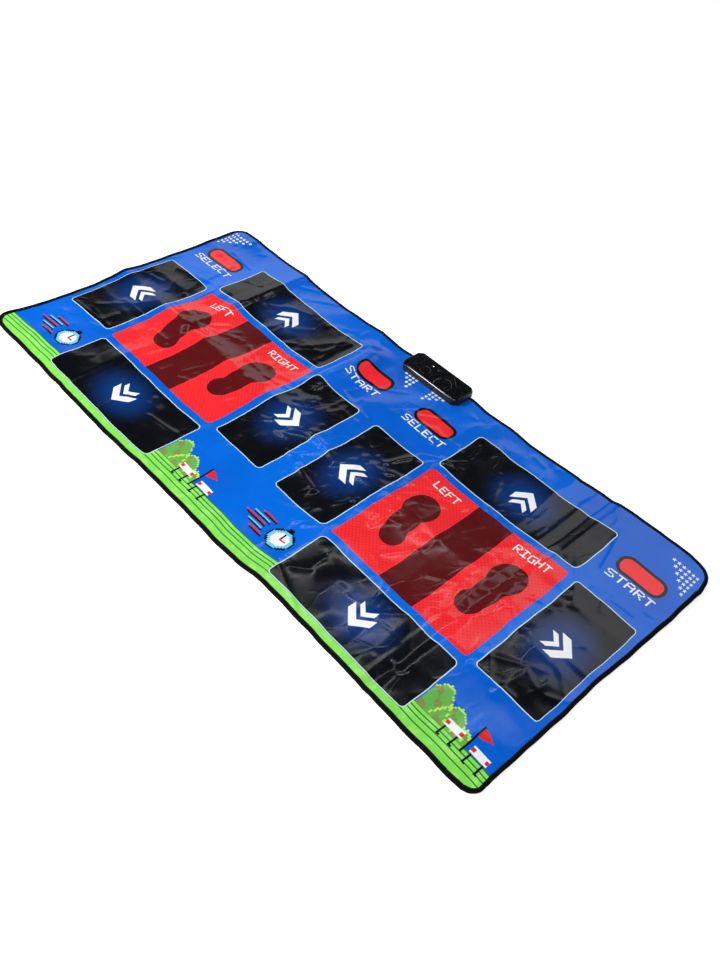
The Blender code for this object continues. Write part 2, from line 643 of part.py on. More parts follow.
def make_box_base():
    """Make the lower shell: a lip under the mat, a floor, a battery tub and board posts."""
    wall_top = TAPE_SLOT_TOP - LAYER_GAP
    base = add_part("box_base", box_slab(0.0, wall_top), BOX_PLASTIC)
    cut(base, add_cutter("base_cavity", box_slab(BOX_FLOOR, PASS_THROUGH, BOX_WALL)))
    lip = bmesh.new()
    beyond = BOX_WIDTH / 2 + PASS_THROUGH
    lip_top = BOTTOM_SHEET_TOP
    block((-beyond, BOX_NEAR_Y - PASS_THROUGH, lip_top), (beyond, FLOOR_Y, PASS_THROUGH), lip)
    cut(base, add_cutter("base_front_lip", lip))
    sides = bmesh.new()
    for side in (-1, 1):
        xs = sorted((side * FLOOR_X, side * beyond))
        block((xs[0], BOX_NEAR_Y, lip_top), (xs[1], EDGE_Y + BOX_GAP, PASS_THROUGH), sides)
    cut(base, add_cutter("base_side_lips", sides))
    tub = block((-TUB_HALF_X - TUB_WALL, TUB_Y - TUB_HALF_Y - TUB_WALL, BOX_FLOOR / 2),
                (TUB_HALF_X + TUB_WALL, TUB_Y + TUB_HALF_Y + TUB_WALL, TUB_TOP))[0]
    for x, y in post_places():
        post(tub, x, y, POST_RADIUS, BOX_FLOOR / 2, BOARD_BASE - LAYER_GAP)
    join(base, add_cutter("base_tub_and_posts", tub))
    hollow = block((-TUB_HALF_X, TUB_Y - TUB_HALF_Y, -PASS_THROUGH),
                   (TUB_HALF_X, TUB_Y + TUB_HALF_Y, TUB_ROOF_BASE))[0]
    cut(base, add_cutter("tub_hollow", hollow))
    recess_width = DOOR_HALF_X - DOOR_TONGUE_WIDTH + SLIDE_GAP
    recess = block((-recess_width, DOOR_NEAR_Y - SLIDE_GAP, -PASS_THROUGH),
                   (recess_width, DOOR_FAR_Y + PASS_THROUGH, DOOR_RECESS_TOP))[0]
    cut(base, add_cutter("door_recess", recess))
    groove_width = DOOR_HALF_X + SLIDE_GAP
    groove = block((-groove_width, DOOR_NEAR_Y - SLIDE_GAP, TONGUE_BASE - SLIDE_GAP),
                   (groove_width, DOOR_FAR_Y + PASS_THROUGH, DOOR_RECESS_TOP))[0]
    cut(base, add_cutter("door_groove", groove))
    shank_holes = bmesh.new()
    head_recesses = bmesh.new()
    for x, y in screw_places().values():
        post(shank_holes, x, y, SCREW_SHANK_RADIUS + SCREW_CLEARANCE, -PASS_THROUGH, PASS_THROUGH)
        post(head_recesses, x, y, SCREW_HEAD_RADIUS + SCREW_CLEARANCE, -PASS_THROUGH, SCREW_RECESS_DEPTH)
    cut(base, add_cutter("shank_holes", shank_holes))
    cut(base, add_cutter("head_recesses", head_recesses))


def make_box_fascia(control_holes):
    """Make the glossy plate on top of the box."""
    fascia = add_part("box_fascia", box_slab(FASCIA_BASE, FASCIA_TOP, FASCIA_INSET), FASCIA_PLASTIC)
    cut(fascia, control_holes)


def make_battery_door():
    """Make the door that slides out of the box's underside towards the far side."""
    narrow = DOOR_HALF_X - DOOR_TONGUE_WIDTH
    middle_y = (DOOR_NEAR_Y + DOOR_FAR_Y) / 2
    half_depth = (DOOR_FAR_Y - DOOR_NEAR_Y) / 2
    body = block((-narrow, -half_depth, DOOR_BASE), (narrow, half_depth, DOOR_TOP))[0]
    door = add_part("battery_door", body, BOX_PLASTIC)
    door.location = (0.0, middle_y, 0.0)
    tongues = block((-DOOR_HALF_X, DOOR_NEAR_Y, TONGUE_BASE), (DOOR_HALF_X, DOOR_FAR_Y, DOOR_TOP))[0]
    join(door, add_cutter("door_tongues", tongues))
    grips = bmesh.new()
    for row in range(GRIP_COUNT):
        y = DOOR_FAR_Y - GRIP_INSET - row * GRIP_PITCH
        block((-narrow / 2, y - GRIP_WIDTH / 2, -PASS_THROUGH),
              (narrow / 2, y + GRIP_WIDTH / 2, DOOR_BASE + GRIP_DEPTH), grips)
    cut(door, add_cutter("door_grips", grips))


def make_batteries():
    """Make the cells side by side, turned end for end by turns, and their contacts."""
    nub_end = BATTERY_LENGTH / 2 + BATTERY_NUB_LENGTH
    profile = (
        (0.0, nub_end),
        (BATTERY_NUB_RADIUS, nub_end),
        (BATTERY_NUB_RADIUS, BATTERY_LENGTH / 2),
        (BATTERY_RADIUS, BATTERY_LENGTH / 2),
        (BATTERY_RADIUS, -BATTERY_LENGTH / 2),
        (0.0, -BATTERY_LENGTH / 2),
    )
    first_y = TUB_Y - (BATTERY_COUNT - 1) * BATTERY_PITCH / 2
    for index in range(BATTERY_COUNT):
        turn = math.pi / 2 if index % 2 == 0 else -math.pi / 2
        place = (0.0, first_y + index * BATTERY_PITCH, BATTERY_Z)
        smooth(turned(f"battery_{index + 1}", profile, place, BATTERY_JACKET, (0.0, turn, 0.0)))
    for side, name in ((-1, "left_contact"), (1, "right_contact")):
        centre = Vector((side * CONTACT_X, TUB_Y, BATTERY_Z))
        half = Vector((CONTACT_THICKNESS / 2, TUB_HALF_Y - LAYER_GAP, CONTACT_HEIGHT / 2))
        add_part(name, block(centre - half, centre + half)[0], STEEL)


def plate_on_board(name, x, y, width, depth, height, material):
    """Add a flat component that sits on the circuit board."""
    low = (x - width / 2, y - depth / 2, ON_BOARD)
    high = (x + width / 2, y + depth / 2, ON_BOARD + height)
    return add_part(name, block(low, high)[0], material)


def make_electronics():
    """Make the circuit board and what is soldered to it."""
    low = (-BOARD_WIDTH / 2, BOARD_NEAR_Y, BOARD_BASE)
    high = (BOARD_WIDTH / 2, BOARD_FAR_Y, BOARD_TOP)
    add_part("circuit_board", block(low, high)[0], BOARD_LAMINATE)
    plate_on_board("game_chip", CHIP_X, BOARD_Y, CHIP_SIZE, CHIP_SIZE, CHIP_THICKNESS, CHIP_RESIN)
    plate_on_board("radio_module", RADIO_X, BOARD_Y, RADIO_WIDTH, RADIO_DEPTH, RADIO_THICKNESS, STEEL)
    plate_on_board("power_switch", BUTTON_X, BUTTON_Y, SWITCH_SIZE, SWITCH_SIZE, SWITCH_HEIGHT, CHIP_RESIN)
    connector_y = BOARD_NEAR_Y + CONNECTOR_DEPTH / 2
    for side, name in ((-1, "p1_connector"), (1, "p2_connector")):
        plate_on_board(name, side * CONNECTOR_X, connector_y, CONNECTOR_WIDTH, CONNECTOR_DEPTH,
                       CONNECTOR_HEIGHT, CONNECTOR_PLASTIC)


def make_film_tails():
    """Make the printed film tails, which climb from the mat to the board."""
    film_z = (LOWER_FILM_BASE + LOWER_FILM_TOP) / 2
    tail_z = ON_BOARD + CONNECTOR_HEIGHT / 2
    foot_y = FLOOR_Y - TAIL_BEND
    path = (
        (NOTCH_Y + LAYER_GAP, film_z),
        (foot_y - TAIL_BEND, film_z),
        (foot_y, film_z + TAIL_BEND),
        (foot_y + TAIL_LEAN, tail_z - TAIL_BEND),
        (foot_y + TAIL_LEAN + TAIL_BEND, tail_z),
        (BOARD_NEAR_Y - LAYER_GAP, tail_z),
    )
    for side, name in ((-1, "p1_film_tail"), (1, "p2_film_tail")):
        mesh_builder = bmesh.new()
        rows = []
        for y, z in path:
            xs = (side * CONNECTOR_X - TAIL_WIDTH / 2, side * CONNECTOR_X + TAIL_WIDTH / 2)
            rows.append([mesh_builder.verts.new((x, y, z)) for x in xs])
        for near, far in zip(rows, rows[1:]):
            mesh_builder.faces.new((near[0], near[1], far[1], far[0]))
        tail = add_part(name, mesh_builder, FILM)
        thickness = tail.modifiers.new("film", "SOLIDIFY")
        thickness.thickness = FILM_THICKNESS
        thickness.offset = 0.0


def make_button_and_light():
    """Make the power button, held by its flange under the roof, and the light guide."""
    button_top = FASCIA_TOP + BUTTON_PROUD
    profile = (
        (0.0, button_top - BUTTON_DISH_DEPTH),
        (BUTTON_DISH_RADIUS, button_top - BUTTON_DISH_DEPTH),
        (BUTTON_DISH_RADIUS + BUTTON_RIM_ROUND, button_top),
        (BUTTON_RADIUS - BUTTON_RIM_ROUND, button_top),
        (BUTTON_RADIUS, button_top - BUTTON_RIM_ROUND),
        (BUTTON_RADIUS, FLANGE_TOP),
        (BUTTON_FLANGE_RADIUS, FLANGE_TOP),
        (BUTTON_FLANGE_RADIUS, FLANGE_BASE),
        (BUTTON_STEM_RADIUS, FLANGE_BASE),
        (BUTTON_STEM_RADIUS, STEM_BASE),
        (0.0, STEM_BASE),
    )
    smooth(turned("power_button", profile, (BUTTON_X, BUTTON_Y, 0.0), BUTTON_PLASTIC))
    light_profile = (
        (0.0, FASCIA_TOP + LIGHT_PROUD),
        (LIGHT_RADIUS / 2, FASCIA_TOP + LIGHT_PROUD),
        (LIGHT_RADIUS, FASCIA_TOP + LIGHT_PROUD - LIGHT_DOME),
        (LIGHT_RADIUS, FLANGE_TOP),
        (LIGHT_FLANGE_RADIUS, FLANGE_TOP),
        (LIGHT_FLANGE_RADIUS, FLANGE_TOP - LIGHT_FLANGE_THICKNESS),
        (LIGHT_RADIUS, FLANGE_TOP - LIGHT_FLANGE_THICKNESS),
        (LIGHT_RADIUS, ON_BOARD),
        (0.0, ON_BOARD),
    )
    smooth(turned("status_light", light_profile, (LIGHT_X, BUTTON_Y, 0.0), LIGHT_PLASTIC))


def make_screws():
    """Make the four screws that pull the box together round the mat's edge."""
    head_top = SCREW_RECESS_DEPTH - LAYER_GAP
    head_base = head_top - SCREW_HEAD_HEIGHT
    shank_top = SCREW_RECESS_DEPTH + SCREW_SHANK_LENGTH - LAYER_GAP
    profile = (
        (0.0, shank_top),
        (SCREW_TIP_RADIUS, shank_top),
        (SCREW_SHANK_RADIUS, shank_top - SCREW_TIP_LENGTH),
        (SCREW_SHANK_RADIUS, head_top),
        (SCREW_HEAD_RADIUS, head_top),
        (SCREW_HEAD_FACE_RADIUS, head_base),
        (0.0, head_base),
    )
    for name, (x, y) in screw_places().items():
        smooth(turned(f"{name}_screw", profile, (x, y, 0.0), STEEL))


def make_mat():
    """Make the layers, the switches and the tape."""
    layout = pad_layout()
    window_cutter = make_window_cutter(layout)
    notch_cutter, footprint_cutter = make_box_cutters()
    make_bottom_sheets(footprint_cutter)
    make_layers(window_cutter, notch_cutter)
    make_pads(layout)
    make_tape()


def make_control_box():
    """Make the control box and what is inside it."""
    control_holes = make_control_holes()
    cover = make_box_cover()
    cut(cover, control_holes)
    make_box_base()
    make_box_fascia(control_holes)
    make_battery_door()
    make_batteries()
    make_electronics()
    make_film_tails()
    make_button_and_light()
    make_screws()


make_mat()
make_control_box()
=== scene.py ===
# %% [markdown]
# A folding game mat for two players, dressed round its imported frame. The real mat is
# a stack of soft sheets: a printed vinyl top, two contact films with foam between them,
# and an anti-slip backing, all bound with woven tape. A black control box is clamped on
# the far edge. The frame holds every piece as a flat solid. Here each soft piece gets
# its creases, its print and its cloth, and each hard one its plastic or metal.

# %% Load the frame
import json
import math

import bmesh
import bpy
import numpy as np
from mathutils import Matrix, Vector


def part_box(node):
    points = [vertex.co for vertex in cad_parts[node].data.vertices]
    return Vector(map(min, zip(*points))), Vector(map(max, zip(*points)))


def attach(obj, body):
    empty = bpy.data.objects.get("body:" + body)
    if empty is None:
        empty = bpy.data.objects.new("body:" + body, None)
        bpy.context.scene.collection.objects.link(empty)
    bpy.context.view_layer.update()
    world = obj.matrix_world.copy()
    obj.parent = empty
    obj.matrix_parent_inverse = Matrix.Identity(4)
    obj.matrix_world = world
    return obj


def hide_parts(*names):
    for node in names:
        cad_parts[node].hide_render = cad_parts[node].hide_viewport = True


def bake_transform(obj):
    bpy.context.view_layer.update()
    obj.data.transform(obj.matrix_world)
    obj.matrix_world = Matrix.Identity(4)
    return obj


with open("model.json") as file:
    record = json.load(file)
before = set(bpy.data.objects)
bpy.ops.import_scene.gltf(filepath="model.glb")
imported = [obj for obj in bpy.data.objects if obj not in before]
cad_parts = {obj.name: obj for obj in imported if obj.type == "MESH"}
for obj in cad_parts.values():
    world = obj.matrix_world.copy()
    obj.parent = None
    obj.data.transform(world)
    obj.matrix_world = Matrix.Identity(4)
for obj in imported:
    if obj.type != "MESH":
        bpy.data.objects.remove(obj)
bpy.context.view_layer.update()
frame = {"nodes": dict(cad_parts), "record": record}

# %% [markdown]
# Every size comes from the frame. The mat lies with X along its length and Y towards the
# box. Each player has a station: a red foot field with four arrow pads round it. Both
# stations carry the same print, so most places are kept in a station's own terms.

# %% Sizes read from the frame
MM = 0.001
EDGE_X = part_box("right_tape")[1].x
EDGE_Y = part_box("left_tape")[1].y
TAPE_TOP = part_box("near_tape")[1].z
TAPE_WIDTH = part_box("near_tape")[1].y + EDGE_Y
SHEET_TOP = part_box("centre_top_sheet")[1].z
CORNER_RADIUS = 0.035
BOX_LOW, BOX_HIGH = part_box("box_cover")
PADS = {node[:-4]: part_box(node) for node in frame["nodes"] if node.endswith("_pad")}


def middle(corners):
    """Return the middle of a box."""
    return (corners[0] + corners[1]) / 2


STATION_X = (middle(PADS["p2_left"]).x + middle(PADS["p2_right"]).x) / 2
STATION_Y = middle(PADS["p2_left"]).y
FOLD_IN = PADS["p2_up"][1].x
FOLD_OUT = PADS["p2_right"][0].x
print("station at", round(STATION_X, 4), round(STATION_Y, 4), "fold strip", FOLD_IN, FOLD_OUT)

# %% [markdown]
# The mat never lies flat. It was stored folded, so a long ridge runs down its middle and
# creases cross it. One function says where any point of the flat mat ends up, and every
# layer, pad and tape goes through it, so nothing tears or crosses. A crease is a short
# line with a height, a width and the radius of its crest: a small radius gives a sharp
# fold with two flat flanks, a large one a soft wave. Round the box the mat is clamped.
# The function also draws the edges out of true and rounds the worn corners.

# %% The lie of the mat, in millimetres
# Along the middle: X, and the ridge's height there
RIDGE = ((-860, 8), (-800, 8), (-740, 4), (-690, 2.5), (-650, 5.5), (-600, 12), (-565, 15.5), (-540, 14.5),
         (-512, 8), (-470, 9), (-420, 9), (-300, 7), (-100, 6), (60, 4), (300, 3), (860, 2))
RIDGE_Y = -12
RIDGE_WIDTH = 30
RIDGE_CREST = 14

# Cross folds: the Y range, how far they fade at its ends, and the lift at places of X, sharp where it turns
CROSS_FOLDS = (
    (110, 430, 60, ((-650, 0), (-600, 3.5), (-560, 6.5), (-522, 12), (-503, 4.5), (-470, 1.5), (-430, 0))),
    (-40, 110, 50, ((-600, 0), (-560, 2), (-524, 5), (-500, 1), (-470, 0))),
    (90, 330, 60, ((-224, 0), (-208, 3), (-188, 11), (-166, 12), (-140, 6), (-110, 1.5), (-50, 0))),
    (-40, 60, 60, ((-222, 0), (-190, 4), (-60, 0))),
    (70, 430, 90, ((380, 0), (445, 4.8), (500, 2.4), (507, 3.2), (535, 0), (556, 4.0), (604, 2.2), (680, 0))),
    (-430, 70, 90, ((400, 0), (482, 3.4), (505, 2.2), (512, 2.9), (535, 0), (555, 3.4), (600, 1.2),
                    (640, 0))),
    (-430, -60, 60, ((-560, 0), (-520, 3.2), (-506, 0.6), (-486, 1.6), (-470, 0))),
)
FOLD_EASE = 3

# Smaller folds and sags: from X and Y to X and Y, height, width and crest radius
CREASES = (
    (-545, -15, -505, -80, 3.2, 18, 4),
    (-535, 12, -470, 8, 2.4, 6, 2),
    (-530, 4, -512, -34, 2.2, 5, 2),
    (-470, -22, -330, -28, 1.2, 7, 2),
    (-470, 10, -375, 16, 1.0, 8, 2),
    (-345, -40, -230, -38, 1.4, 6, 2),
    (-300, 20, -240, 0, 1.2, 8, 3),
    (-322, -238, -212, -362, 2.4, 16, 2),
    (-346, -232, -250, -345, 1.0, 12, 3),
    (-238, 300, -305, 180, 1.8, 12, 3),
    (-262, 205, -300, 158, 1.2, 8, 2),
    (-205, -420, -200, -190, 1.8, 22, 4),
    (-205, -60, -205, 300, 1.0, 10, 3),
    (-160, 62, -60, 40, 1.5, 20, 5),
    (-150, -50, -60, -120, 1.2, 12, 3),
    (-60, 66, 30, 78, 2.4, 24, 6),
    (-48, -14, 72, -34, 4.5, 7, 1.5),
    (-40, -98, 20, -114, 2.0, 9, 2),
    (12, -110, 100, -131, 4.2, 8, 1.5),
    (40, 40, 150, 20, 1.6, 22, 4),
    (82, 118, 98, 62, 1.5, 7, 2),
    (156, 122, 134, 58, 1.8, 8, 2),
    (150, -50, 180, -110, 1.6, 10, 2),
    (122, -80, 124, -185, 1.4, 7, 2),
    (138, -90, 142, -430, 1.4, 8, 2),
    (176, 340, 172, 190, 1.6, 12, 3),
    (194, 60, 200, -430, 2.2, 13, 3),
    (203, 380, 198, 60, 1.6, 22, 4),
    (212, -40, 270, -72, 1.3, 9, 2),
    (225, -322, 262, -288, 2.4, 10, 2),
    (300, -255, 375, -345, 2.4, 24, 5),
    (235, -222, 335, -262, 2.0, 18, 4),
    (300, -118, 311, -162, 1.0, 6, 2),
    (268, 310, 262, 170, 0.8, 8, 3),
    (438, 310, 452, 165, 1.4, 11, 3),
    (428, -215, 446, -370, 1.2, 9, 3),
    (600, 300, 820, 395, 5.0, 60, 14),
    (640, 74, 790, 84, 2.2, 20, 5),
    (640, 22, 790, 12, 1.8, 17, 4),
    (640, -40, 790, -34, 2.2, 18, 4),
    (640, -62, 790, -72, 1.2, 10, 3),
    (752, -98, 741, -165, 1.8, 12, 2),
    (700, -430, 740, -240, 2.4, 30, 5),
    (-720, -430, -700, -240, 2.4, 34, 6),
    (-800, 62, -660, 74, 2.6, 26, 5),
    (-800, -96, -650, -112, 1.6, 22, 4),
    (-760, 150, -640, 220, 1.6, 26, 5),
    (330, -30, 450, 0, 1.2, 14, 3),
    (-640, -120, -470, -170, 1.8, 30, 5),
)

# Crumpled places, where feet have twisted: X, Y, spread and number of short creases
CRUMPLES = (
    (-540, -20, 40, 26),
    (-275, -30, 40, 12),
    (-140, 10, 45, 26),
    (140, -20, 60, 34),
    (70, -100, 60, 12),
    (520, 0, 60, 18),
    (-20, 10, 70, 16),
    (0, 250, 90, 14),
)
STRAY_CREASES = 240
STRAY_REACH = (810, 380)
# Short creases: the turns of stray ones in half circles, with a spread, then ranges of size
STRAY_TURNS, STRAY_SPREAD = (0.0, 0.5, 0.25, 0.75), 0.25
SHORT_LENGTHS, SHORT_HEIGHTS, SHORT_WIDTHS, SHORT_CREST = (30, 150), (0.4, 1.7), (3.5, 7.0), 1.3
# A crease rises less where the sheet is already this high
CREASE_FADE = 16.0
# Taut places without short creases: X, Y and reach
TAUT = ((540, 250, 80), (610, -70, 75), (345, -300, 70), (700, -60, 60))

# Zigzag waves of the whole sheet, which add up to flat facets: their number, lengths and slope
WAVES = 16
WAVE_LENGTHS = (90, 420)
WAVE_SLOPE = 0.016
WAVE_SHARPNESS = 0.985
FLOOR_EASE = 1.2

# How far the wrinkled edges are drawn out of true: X or Y, and the shift there
NEAR_PULL = ((-825, -4), (-600, -1), (-450, -7), (-225, -9), (-150, -5), (-75, -5), (75, -11), (150, -9),
             (225, -1), (375, -4), (450, -10), (525, -14), (600, -14), (750, -19), (825, -20))
FAR_PULL = ((-825, 0), (-675, -3), (-525, -7), (-375, -8), (-300, -8), (-225, -1), (-150, -7), (150, -7),
            (225, -3), (300, -8), (375, -5), (450, -9), (525, 3), (600, 12), (690, 12), (825, 7))
LEFT_PULL = ((-391, -9), (-330, -9), (-275, 0), (-220, 5), (-110, 6), (0, 4), (55, 9), (110, 8.5), (165, 6),
             (275, 6.5), (391, 5))
RIGHT_PULL = ((-391, -9), (-275, -8), (-220, -6), (0, -8), (110, -3), (275, -1), (391, 2))
PULL_START, PULL_FULL = 785, 818
# The corners are worn rounder than they were cut: X or Y along an edge, and the shift there
NEAR_TRIM = ((-825, 6), (-790, 4.5), (-775, 2), (-750, 1), (-700, 0),
             (750, 0), (775, 2), (790, 9), (800, 14), (812, 16), (825, 16))
FAR_TRIM = ((-825, -6), (-800, -4.5), (-785, 0), (745, 0), (760, -2), (775, -3.5), (790, -8), (800, -12),
            (810, -14), (825, -16))
LEFT_TRIM = ((-391, 2.5), (-370, 0.8), (-360, -1), (-345, -2), (-330, -0.5), (-310, 0))
RIGHT_TRIM = ((-391, 12), (-378, 10), (-365, 3), (-345, 0), (330, 0), (345, -3.5), (360, -7), (372, -6.5),
              (391, -4))
TRIM_FULL, TRIM_FADE = 30, 80
# Where wrinkles have drawn the sheet together: X and Y, how far that reaches, and the shift
GATHERS = (
    (-178, 258, 26, 40, 6, 8),
    (-166, 214, 22, 24, 3, 6),
    (-120, 215, 24, 30, 0, -4),
    (-588, 10, 26, 60, -3, 0),
    (-515, -88, 40, 45, 12, -4),
    (-508, 40, 24, 40, -7, 0),
    (-578, 102, 22, 34, 8, -6),
    (-512, 108, 18, 26, -8, 7),
    (-605, 125, 30, 40, 3, -8),
)
END_STRETCH, STRETCH_START = 5, 640
# The edges also waver: height, and for each way one long wave and one that leans
RIPPLE = 0.9
RIPPLE_X, LEAN_X = 27.0, (11.0, 60.0)
RIPPLE_Y, LEAN_Y = 37.0, (13.0, 50.0)
FLAT_MARGIN, FLAT_ROUND_BOX = 0.006, 0.07


def smooth_step(values):
    """Ease values from 0 to 1, flat at both ends."""
    values = np.clip(values, 0.0, 1.0)
    return values * values * (3.0 - 2.0 * values)


def short_creases(seed=11):
    """Return short random creases: dense ones in the crumples, and stray ones elsewhere."""
    draw = np.random.default_rng(seed)
    places = [(draw.normal(x, spread), draw.normal(y, spread), draw.uniform(0, math.pi))
              for x, y, spread, count in CRUMPLES for _ in range(count)]
    reach_x, reach_y = STRAY_REACH
    places += [(draw.uniform(-reach_x, reach_x), draw.uniform(-reach_y, reach_y),
                draw.choice(STRAY_TURNS) * math.pi + draw.normal(0.0, STRAY_SPREAD))
               for _ in range(STRAY_CREASES)]
    lines = []
    for x, y, turn in places:
        length = draw.uniform(*SHORT_LENGTHS)
        end_x, end_y = x + length * math.cos(turn), y + length * math.sin(turn)
        line = (x, y, end_x, end_y, draw.uniform(*SHORT_HEIGHTS), draw.uniform(*SHORT_WIDTHS), SHORT_CREST)
        if all(math.dist(((x + end_x) / 2, (y + end_y) / 2), (near_x, near_y)) > reach
               for near_x, near_y, reach in TAUT):
            lines.append(line)
    return lines


def sheet_waves(seed=5):
    """Return long low waves as a direction with its wave number, a phase and a height."""
    draw = np.random.default_rng(seed)
    waves = []
    for length in np.geomspace(*WAVE_LENGTHS, WAVES):
        turn = draw.uniform(0.0, math.pi)
        number = 2 * math.pi / length
        waves.append((number * math.cos(turn), number * math.sin(turn), draw.uniform(0, 2 * math.pi),
                      WAVE_SLOPE / number))
    return waves


def add_crease(lift, x, y, line):
    """Add one crease to the lift of the points near it."""
    x0, y0, x1, y1, height, width, crest = line
    along = Vector((x1 - x0, y1 - y0))
    length = along.length
    reach = length / 2 + 5 * width
    near = np.nonzero((np.abs(x - (x0 + x1) / 2) < reach) & (np.abs(y - (y0 + y1) / 2) < reach))[0]
    off_x, off_y = x[near] - x0, y[near] - y0
    across = (off_y * along.x - off_x * along.y) / length
    share = (off_x * along.x + off_y * along.y) / length
    ends = smooth_step((share + width) / (2 * width)) * smooth_step((length + width - share) / (2 * width))
    profile = np.exp(-(np.hypot(across, crest) - crest) / width)
    lift[near] += height * profile * ends * np.exp(-lift[near] / CREASE_FADE)


def listed(place, pairs):
    """Return the value at a place, from values listed at some places."""
    return np.interp(place, *zip(*pairs))


def by_side(way, place, low_pairs, high_pairs):
    """Return listed values of the edge on the low side or the high side of the middle."""
    return np.where(way < 0, listed(place, low_pairs), listed(place, high_pairs))


def trim(flat):
    """Return the shifts that round the corners further, in metres."""
    x, y = flat[:, 0] / MM, flat[:, 1] / MM
    at_side = 1.0 - smooth_step((EDGE_Y / MM - np.abs(y) - TRIM_FULL) / TRIM_FADE)
    at_end = 1.0 - smooth_step((EDGE_X / MM - np.abs(x) - TRIM_FULL) / TRIM_FADE)
    shift_y = by_side(y, x, NEAR_TRIM, FAR_TRIM) * at_side
    shift_x = by_side(x, y, LEFT_TRIM, RIGHT_TRIM) * at_end
    return np.stack((shift_x, shift_y, np.zeros_like(x)), axis=1) * MM


def lie(flat):
    """Return where points of the flat mat end up, as rows of X, Y and Z in metres."""
    x, y = flat[:, 0] / MM, flat[:, 1] / MM
    swell = sum(height * np.arcsin(WAVE_SHARPNESS * np.sin(x * number_x + y * number_y + phase))
                for number_x, number_y, phase, height in WAVE_SET)
    lift = FLOOR_EASE * np.logaddexp(0.0, swell / FLOOR_EASE)
    for low, high, ease, places in CROSS_FOLDS:
        lasting = smooth_step((y - low) / ease + 0.5) * smooth_step((high - y) / ease + 0.5)
        lift += lasting * sum(listed(x + shift, places) for shift in (-FOLD_EASE, 0, FOLD_EASE)) / 3
    across = np.hypot(y - RIDGE_Y, RIDGE_CREST) - RIDGE_CREST
    lift += listed(x, RIDGE) * np.exp(-across / RIDGE_WIDTH)
    for line in CREASE_SET:
        add_crease(lift, x, y, line)
    share = np.clip((y / (EDGE_Y / MM) + 1.0) / 2.0, 0.0, 1.0)
    pull_y = listed(x, NEAR_PULL) * (1.0 - share) + listed(x, FAR_PULL) * share
    ends = np.clip((np.abs(x) - PULL_START) / (PULL_FULL - PULL_START), 0.0, 1.0)
    stretch = np.clip((np.abs(x) - STRETCH_START) / (PULL_START - STRETCH_START), 0.0, 1.0)
    pull_x = by_side(x, y, LEFT_PULL, RIGHT_PULL) * ends
    pull_x += END_STRETCH * stretch * (1.0 - ends) * np.sign(x)
    pull_x += RIPPLE * (np.sin(y / RIPPLE_X) + np.sin(y / LEAN_X[0] + x / LEAN_X[1]) / 2)
    pull_y += RIPPLE * (np.sin(x / RIPPLE_Y + 1.0) + np.sin(x / LEAN_Y[0] + y / LEAN_Y[1]) / 2)
    for near_x, near_y, reach_x, reach_y, shift_x, shift_y in GATHERS:
        near = np.exp(-((x - near_x) / reach_x) ** 2 - ((y - near_y) / reach_y) ** 2)
        pull_x += shift_x * near
        pull_y += shift_y * near
    beyond_x = np.maximum(np.abs(flat[:, 0]) - BOX_HIGH.x, 0.0)
    beyond_y = np.maximum(BOX_LOW.y - flat[:, 1], 0.0)
    free = smooth_step((np.hypot(beyond_x, beyond_y) - FLAT_MARGIN) / FLAT_ROUND_BOX) * MM
    return flat + np.stack((pull_x, pull_y, lift), axis=1) * free[:, None] + trim(flat)


WAVE_SET = sheet_waves()
CREASE_SET = (*CREASES, *short_creases())
probe = lie(np.array(((-0.8, -0.012, SHEET_TOP), (-0.622, -0.012, SHEET_TOP), (0.0, 0.34, SHEET_TOP))))
print("creases:", len(CREASE_SET))
print("sheet top in mm at the left ridge, the left fold and the box:", (probe[:, 2] / MM).round(1))

# %% [markdown]
# All sheets start as a grid. Its lines are not even: they run through every edge that
# matters, such as the sides of the pads, the folds and the slot for the box, and are
# spread evenly between. A grid cut into pieces along such lines closes without a gap,
# because neighbours share the same points. The square block in each corner of the mat is
# squeezed into a quarter of a disc, which rounds the corner without a jagged edge.

# %% Grids with chosen lines
FINE_STEP, FILM_STEP, COARSE_STEP, FOLD_STEP = 0.0042, 0.005, 0.009, 0.0023
SMOOTH_ANGLE = math.radians(50)
WELD = 0.000001


def lines_through(stops, step):
    """Return grid lines through every stop, no further apart than a step."""
    stops = sorted({round(float(stop), 7) for stop in stops})
    runs = []
    for low, high in zip(stops, stops[1:]):
        count = max(1, math.ceil((high - low) / step - 0.01))
        runs.append(np.linspace(low, high, count, endpoint=False))
    return np.concatenate([*runs, stops[-1:]])


def between(lines, low, high):
    """Return the lines from one place to another, both of them included."""
    slack = 0.00001
    return lines[(lines > low - slack) & (lines < high + slack)]


def bent_grid(columns, rows, place):
    """Return a bmesh grid whose points a function places, by their column and row."""
    made = bmesh.new()
    bmesh.ops.create_grid(made, x_segments=columns, y_segments=rows, size=0.5)
    for vert in made.verts:
        vert.co = place(round((vert.co.x + 0.5) * columns), round((vert.co.y + 0.5) * rows))
    return made


def grid(xs, ys):
    """Return a flat grid whose lines lie at the given places."""
    return bent_grid(len(xs) - 1, len(ys) - 1, lambda column, row: (xs[column], ys[row], 0.0))


def clear_window(made, low, high):
    """Delete the faces of a grid inside a rectangle."""
    middles = {face: face.calc_center_median() for face in made.faces}
    cut = [face for face, at in middles.items() if low[0] < at.x < high[0] and low[1] < at.y < high[1]]
    bmesh.ops.delete(made, geom=cut, context="FACES")


def thicken(made, base, top):
    """Turn a flat sheet at height 0 into a closed one between two heights."""
    grown = bmesh.ops.extrude_face_region(made, geom=made.faces[:], use_keep_orig=True)
    upper = {item for item in grown["geom"] if isinstance(item, bmesh.types.BMVert)}
    for vert in made.verts:
        vert.co.z = top if vert in upper else base
    bmesh.ops.recalc_face_normals(made, faces=made.faces[:])


